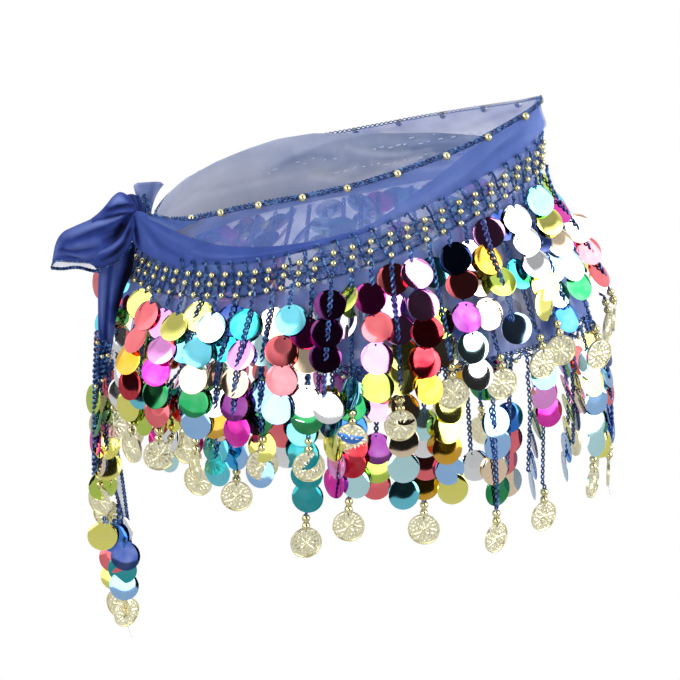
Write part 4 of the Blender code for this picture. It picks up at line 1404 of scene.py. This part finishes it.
# Above this height the strands turn freely and many hang edge on, and below it they face the front. A look
# is the spread of the paillettes' turn in degrees, and how often a strand hangs edge on.
TAIL_GATHER_Z, TAIL_FREE, TAIL_GATHERED = -200, (26, 0.7), (7, 0)


def tail_fringe():
    """Strands off the tail's edges, hanging close together."""
    looks = random.Random(TAIL_SEED)
    shape = Shape()
    for i, (x, y, z, length, has_coin, holes) in enumerate(TAIL_STRANDS):
        lean = looks.uniform(-0.04, 0.04)
        turn = looks.uniform(-0.5, 0.2)
        free = z > TAIL_GATHER_Z

        def line(down):
            return shift(x, y, z) + np.array([lean * down, 0, -down])

        facing = (turn if free else 0.3 * turn - 0.2, -1.0, 0)
        look = (holes, 0, *(TAIL_FREE if free else TAIL_GATHERED), 0)
        strand(shape, line, facing, length * MM, has_coin, looks, look, thread=i == LOOSE_THREAD_ON)
    for braid, width, thick, beads in TAIL_BRAIDS:
        path = curve_through(np.array(braid) * MM, 40)
        crochet_chain(shape, path, FRONT, width, 3.6, thick)
        for share in beads:
            bead = path[int(share * (len(path) - 1))] + shift(0.6, -1.6, 0)
            shape.place(HEM_BEAD, bead, (1, 0, 0), UP, GOLD_SLOT)
    shape.made("tail_paillettes", FRINGE_LOOKS, ("fringe_tail",), "fringe_tail")


KNOT_MIDDLE, KNOT_HALF_SIZE = shift(-140, -26, -29), shift(8.5, 10.5, 13)


def knot_core():
    """The body of the knot, behind the folds: cloth drawn round tightly."""
    rows, sides = 26, 48
    fall = np.linspace(0.06, math.pi - 0.06, rows)[:, None]
    turn = full_turn(sides)[None]
    ridge = 1 + 0.10 * np.sin(7 * turn + 2.5 * fall) + 0.05 * np.sin(12 * turn - 3.2 * fall + 1)
    ways = np.stack([np.sin(fall) * ridge * np.cos(turn), np.sin(fall) * ridge * np.sin(turn),
                     np.cos(fall) + 0 * turn], -1)

    def points_of(offset):
        return KNOT_MIDDLE + (KNOT_HALF_SIZE + offset) * ways

    shape = Shape()
    # Painted shade over the knot's body, lighter on its ridges.
    tone = 0.45 - 2 * (ridge - 1)
    shape.add(*shell(points_of, rows, sides, CHIFFON_THICK * 2, closed=True), 0, np.stack([tone, tone]))
    shape.made("knot", [BUNCHED_SHADED], ("tie_knot",), "tie_knot", 80)


# ---------------------------------------------------------------- everything in place

scarf_cloth()
laid_panel("front_fold_over", FOLD_OVER_ROWS, 0.75 * MM, net_top, FOLD_OVER_CREASES, SOLID,
           ("fold_over_front",), "fold_over_front", puff=0.5 * MM)
laid_panel("back_lining", BACK_LINING_ROWS, LINING_OUT, net_bottom, BACK_LINING_CREASES, INSIDE_BACKLIT,
           shade=BACK_LINING_SHADE, grid=(30, 260))
laid_panel("front_lining", FRONT_LINING_ROWS, LINING_OUT, net_top, FRONT_LINING_CREASES, CLOSE)
lining_stitches()
net_band("net_front", -183, 0, "net_band_front", 11)
net_band("net_back", 0, 178, "net_band_back", 12)
rim_edging("rim_crochet_front", -180, 0, RIM_FRONT_BEADS, 0.5 * MM, "rim_edging_front", 0.48, 2)
rim_edging("rim_crochet_back", 0, 180, RIM_BACK_BEADS, -1.6 * MM, "rim_edging_back", 0.36, 1)
upper_tier("paillettes_upper_front", UPPER_FRONT, UPPER_COINS, 1, "fringe_upper_front",
           ((0.5, 8.5), (0.26, 0.02), 5.5, 0.06, 5.5 * MM))
upper_tier("paillettes_upper_back", UPPER_BACK, (), 2, "fringe_upper_back",
           ((0, 4), (0.15, 0.05), 18, 0.12, 0))
hem_tier("paillettes_hem_front", HEM_FRONT, HEM_COINS, 3, "fringe_hem_front",
         ((8, 19), (0.38, 0.04), 12, 0.14, 2 * MM), threads=(-5,))
hem_tier("paillettes_hem_back", HEM_BACK, (), 4, "fringe_hem_back",
         ((10, 24), (0.5, 0.15), 20, 0.2, 2 * MM))
knot_core()
wrap_end()
tie_lobe()
tie_band()
tie_hump()
tie_ear()
tie_tail()
tail_fringe()


# ---------------------------------------------------------------- light and camera

# The lights round the side the camera stands on, in degrees and strength: turn to the right of the camera,
# rise, inner and outer half angle. The weak ones are dark gaps between the lights.
STUDIO_LIGHTS = (
    (-58, 10, 34, 46, 1.7),
    (-12, 8, 13, 18, 2.4),
    (74, 10, 27, 33, 4.2),
    (22, -8, 21, 24, 0.012),
    (22, 14, 21, 24, 0.012),
    (26, 34, 25, 28, 0.02),
    (22, 57, 20, 23, 0.02),
    (-80, 4, 9, 12, 0.03),
)
# The light beside them: its level in front, behind and above, and the half angles that each spreads over.
FRONT_LEVEL, BACK_LEVEL, TOP_LEVEL = 0.28, 1.0, 1.2
BACK_WAY, BACK_SPREAD, TOP_SPREAD = (0, 1, -0.2), (70, 105), (25, 50)
LAMP_TARGET = (0, 0, -0.1)
FLOOR_Z, FLOOR_CORNERS = -0.9, ((-12, -8), (12, -8), (12, 14), (-12, 14))


def from_camera_side(turn, rise):
    turn, rise = math.radians(turn), math.radians(rise)
    return (math.sin(turn) * math.cos(rise), -math.cos(turn) * math.cos(rise), math.sin(rise))


def plain_to_camera(tree, seen_by_others, plain, output):
    """Shows the camera itself a plain white, and every other ray the first shader."""
    ray, both = node(tree, "ShaderNodeLightPath"), node(tree, "ShaderNodeMixShader")
    tree.links.new(ray.outputs["Is Camera Ray"], both.inputs["Fac"])
    tree.links.new(seen_by_others, both.inputs[1])
    tree.links.new(plain.outputs[0], both.inputs[2])
    tree.links.new(both.outputs["Shader"], output.inputs["Surface"])


def studio():
    """White studio light, seen by the shiny parts."""
    world = bpy.data.worlds.new("studio")
    bpy.context.scene.world = world
    world.use_nodes = True
    tree = world.node_tree
    tree.nodes.clear()
    link = tree.links.new
    way = node(tree, "ShaderNodeTexCoord").outputs["Generated"]

    def spot(direction, inner, outer):
        """1 within inner degrees of a direction, and 0 beyond outer degrees."""
        dot = node(tree, "ShaderNodeVectorMath", {1: Vector(direction).normalized()}, operation="DOT_PRODUCT")
        link(way, dot.inputs[0])
        edges = {"From Min": math.cos(math.radians(outer)), "From Max": math.cos(math.radians(inner))}
        spread = node(tree, "ShaderNodeMapRange", edges, interpolation_type="SMOOTHSTEP")
        link(dot.outputs["Value"], spread.inputs["Value"])
        return spread.outputs["Result"]

    def mixed(fac, low, high):
        """A number that goes from low, a socket or a number, to high with fac."""
        mix = node(tree, "ShaderNodeMix", {3: high})
        link(fac, mix.inputs[0])
        if isinstance(low, float):
            mix.inputs[2].default_value = low
        else:
            link(low, mix.inputs[2])
        return mix.outputs[0]

    level = mixed(spot(BACK_WAY, *BACK_SPREAD), FRONT_LEVEL, BACK_LEVEL)
    level = mixed(spot(UP, *TOP_SPREAD), level, TOP_LEVEL)
    for turn, rise, inner, outer, strength in STUDIO_LIGHTS:
        level = mixed(spot(from_camera_side(turn, rise), inner, outer), level, strength)
    light = node(tree, "ShaderNodeBackground", {"Color": (1, 1, 1, 1)})
    link(level, light.inputs["Strength"])
    plain = node(tree, "ShaderNodeBackground", {"Color": (1, 1, 1, 1), "Strength": 1.0})
    plain_to_camera(tree, light.outputs["Background"], plain, node(tree, "ShaderNodeOutputWorld"))


def floor():
    """A pale floor, white where the camera sees it, and not as bright in the shiny parts."""
    mesh = bpy.data.meshes.new("floor")
    mesh.from_pydata([(x, y, FLOOR_Z) for x, y in FLOOR_CORNERS], [], [(0, 1, 2, 3)])
    look, shader = principled("pale_floor", (0.5, 0.5, 0.5), 0.9)
    tree = look.node_tree
    white = node(tree, "ShaderNodeEmission", {"Color": (1, 1, 1, 1), "Strength": 1.0})
    plain_to_camera(tree, shader.outputs["BSDF"], white, tree.nodes["Material Output"])
    mesh.materials.append(look)
    placed("floor", mesh)


def lamp(name, place, size, watts):
    light = bpy.data.lights.new(name, "AREA")
    light.size, light.energy = size, watts
    made = placed(name, light)
    made.location = place
    made.rotation_euler = (Vector(LAMP_TARGET) - Vector(place)).to_track_quat("-Z", "Y").to_euler()


CAMERA_AWAY, CAMERA_RISE = 1.4, 14  # metres from the frame's origin, and degrees above it
LOOK_DOWN, LOOK_LEFT = 18.72, 0.34
FOCAL_PIXELS, IMAGE_PIXELS = 2180, 680


def camera():
    data = bpy.data.cameras.new("camera")
    data.sensor_width = 36
    data.lens = data.sensor_width * FOCAL_PIXELS / IMAGE_PIXELS
    data.clip_start, data.clip_end = 0.05, 60
    made = placed("camera", data)
    rise = math.radians(CAMERA_RISE)
    made.location = (0, -CAMERA_AWAY * math.cos(rise), CAMERA_AWAY * math.sin(rise))
    made.rotation_euler = (math.radians(90 - LOOK_DOWN), 0, math.radians(LOOK_LEFT))
    bpy.context.scene.camera = made


studio()
floor()
lamp("key", (1.1, -0.9, 1.0), 0.8, 7)
lamp("fill", (-1.2, -0.8, 0.8), 0.9, 4)
camera()
bpy.context.scene.view_settings.view_transform = "Standard"
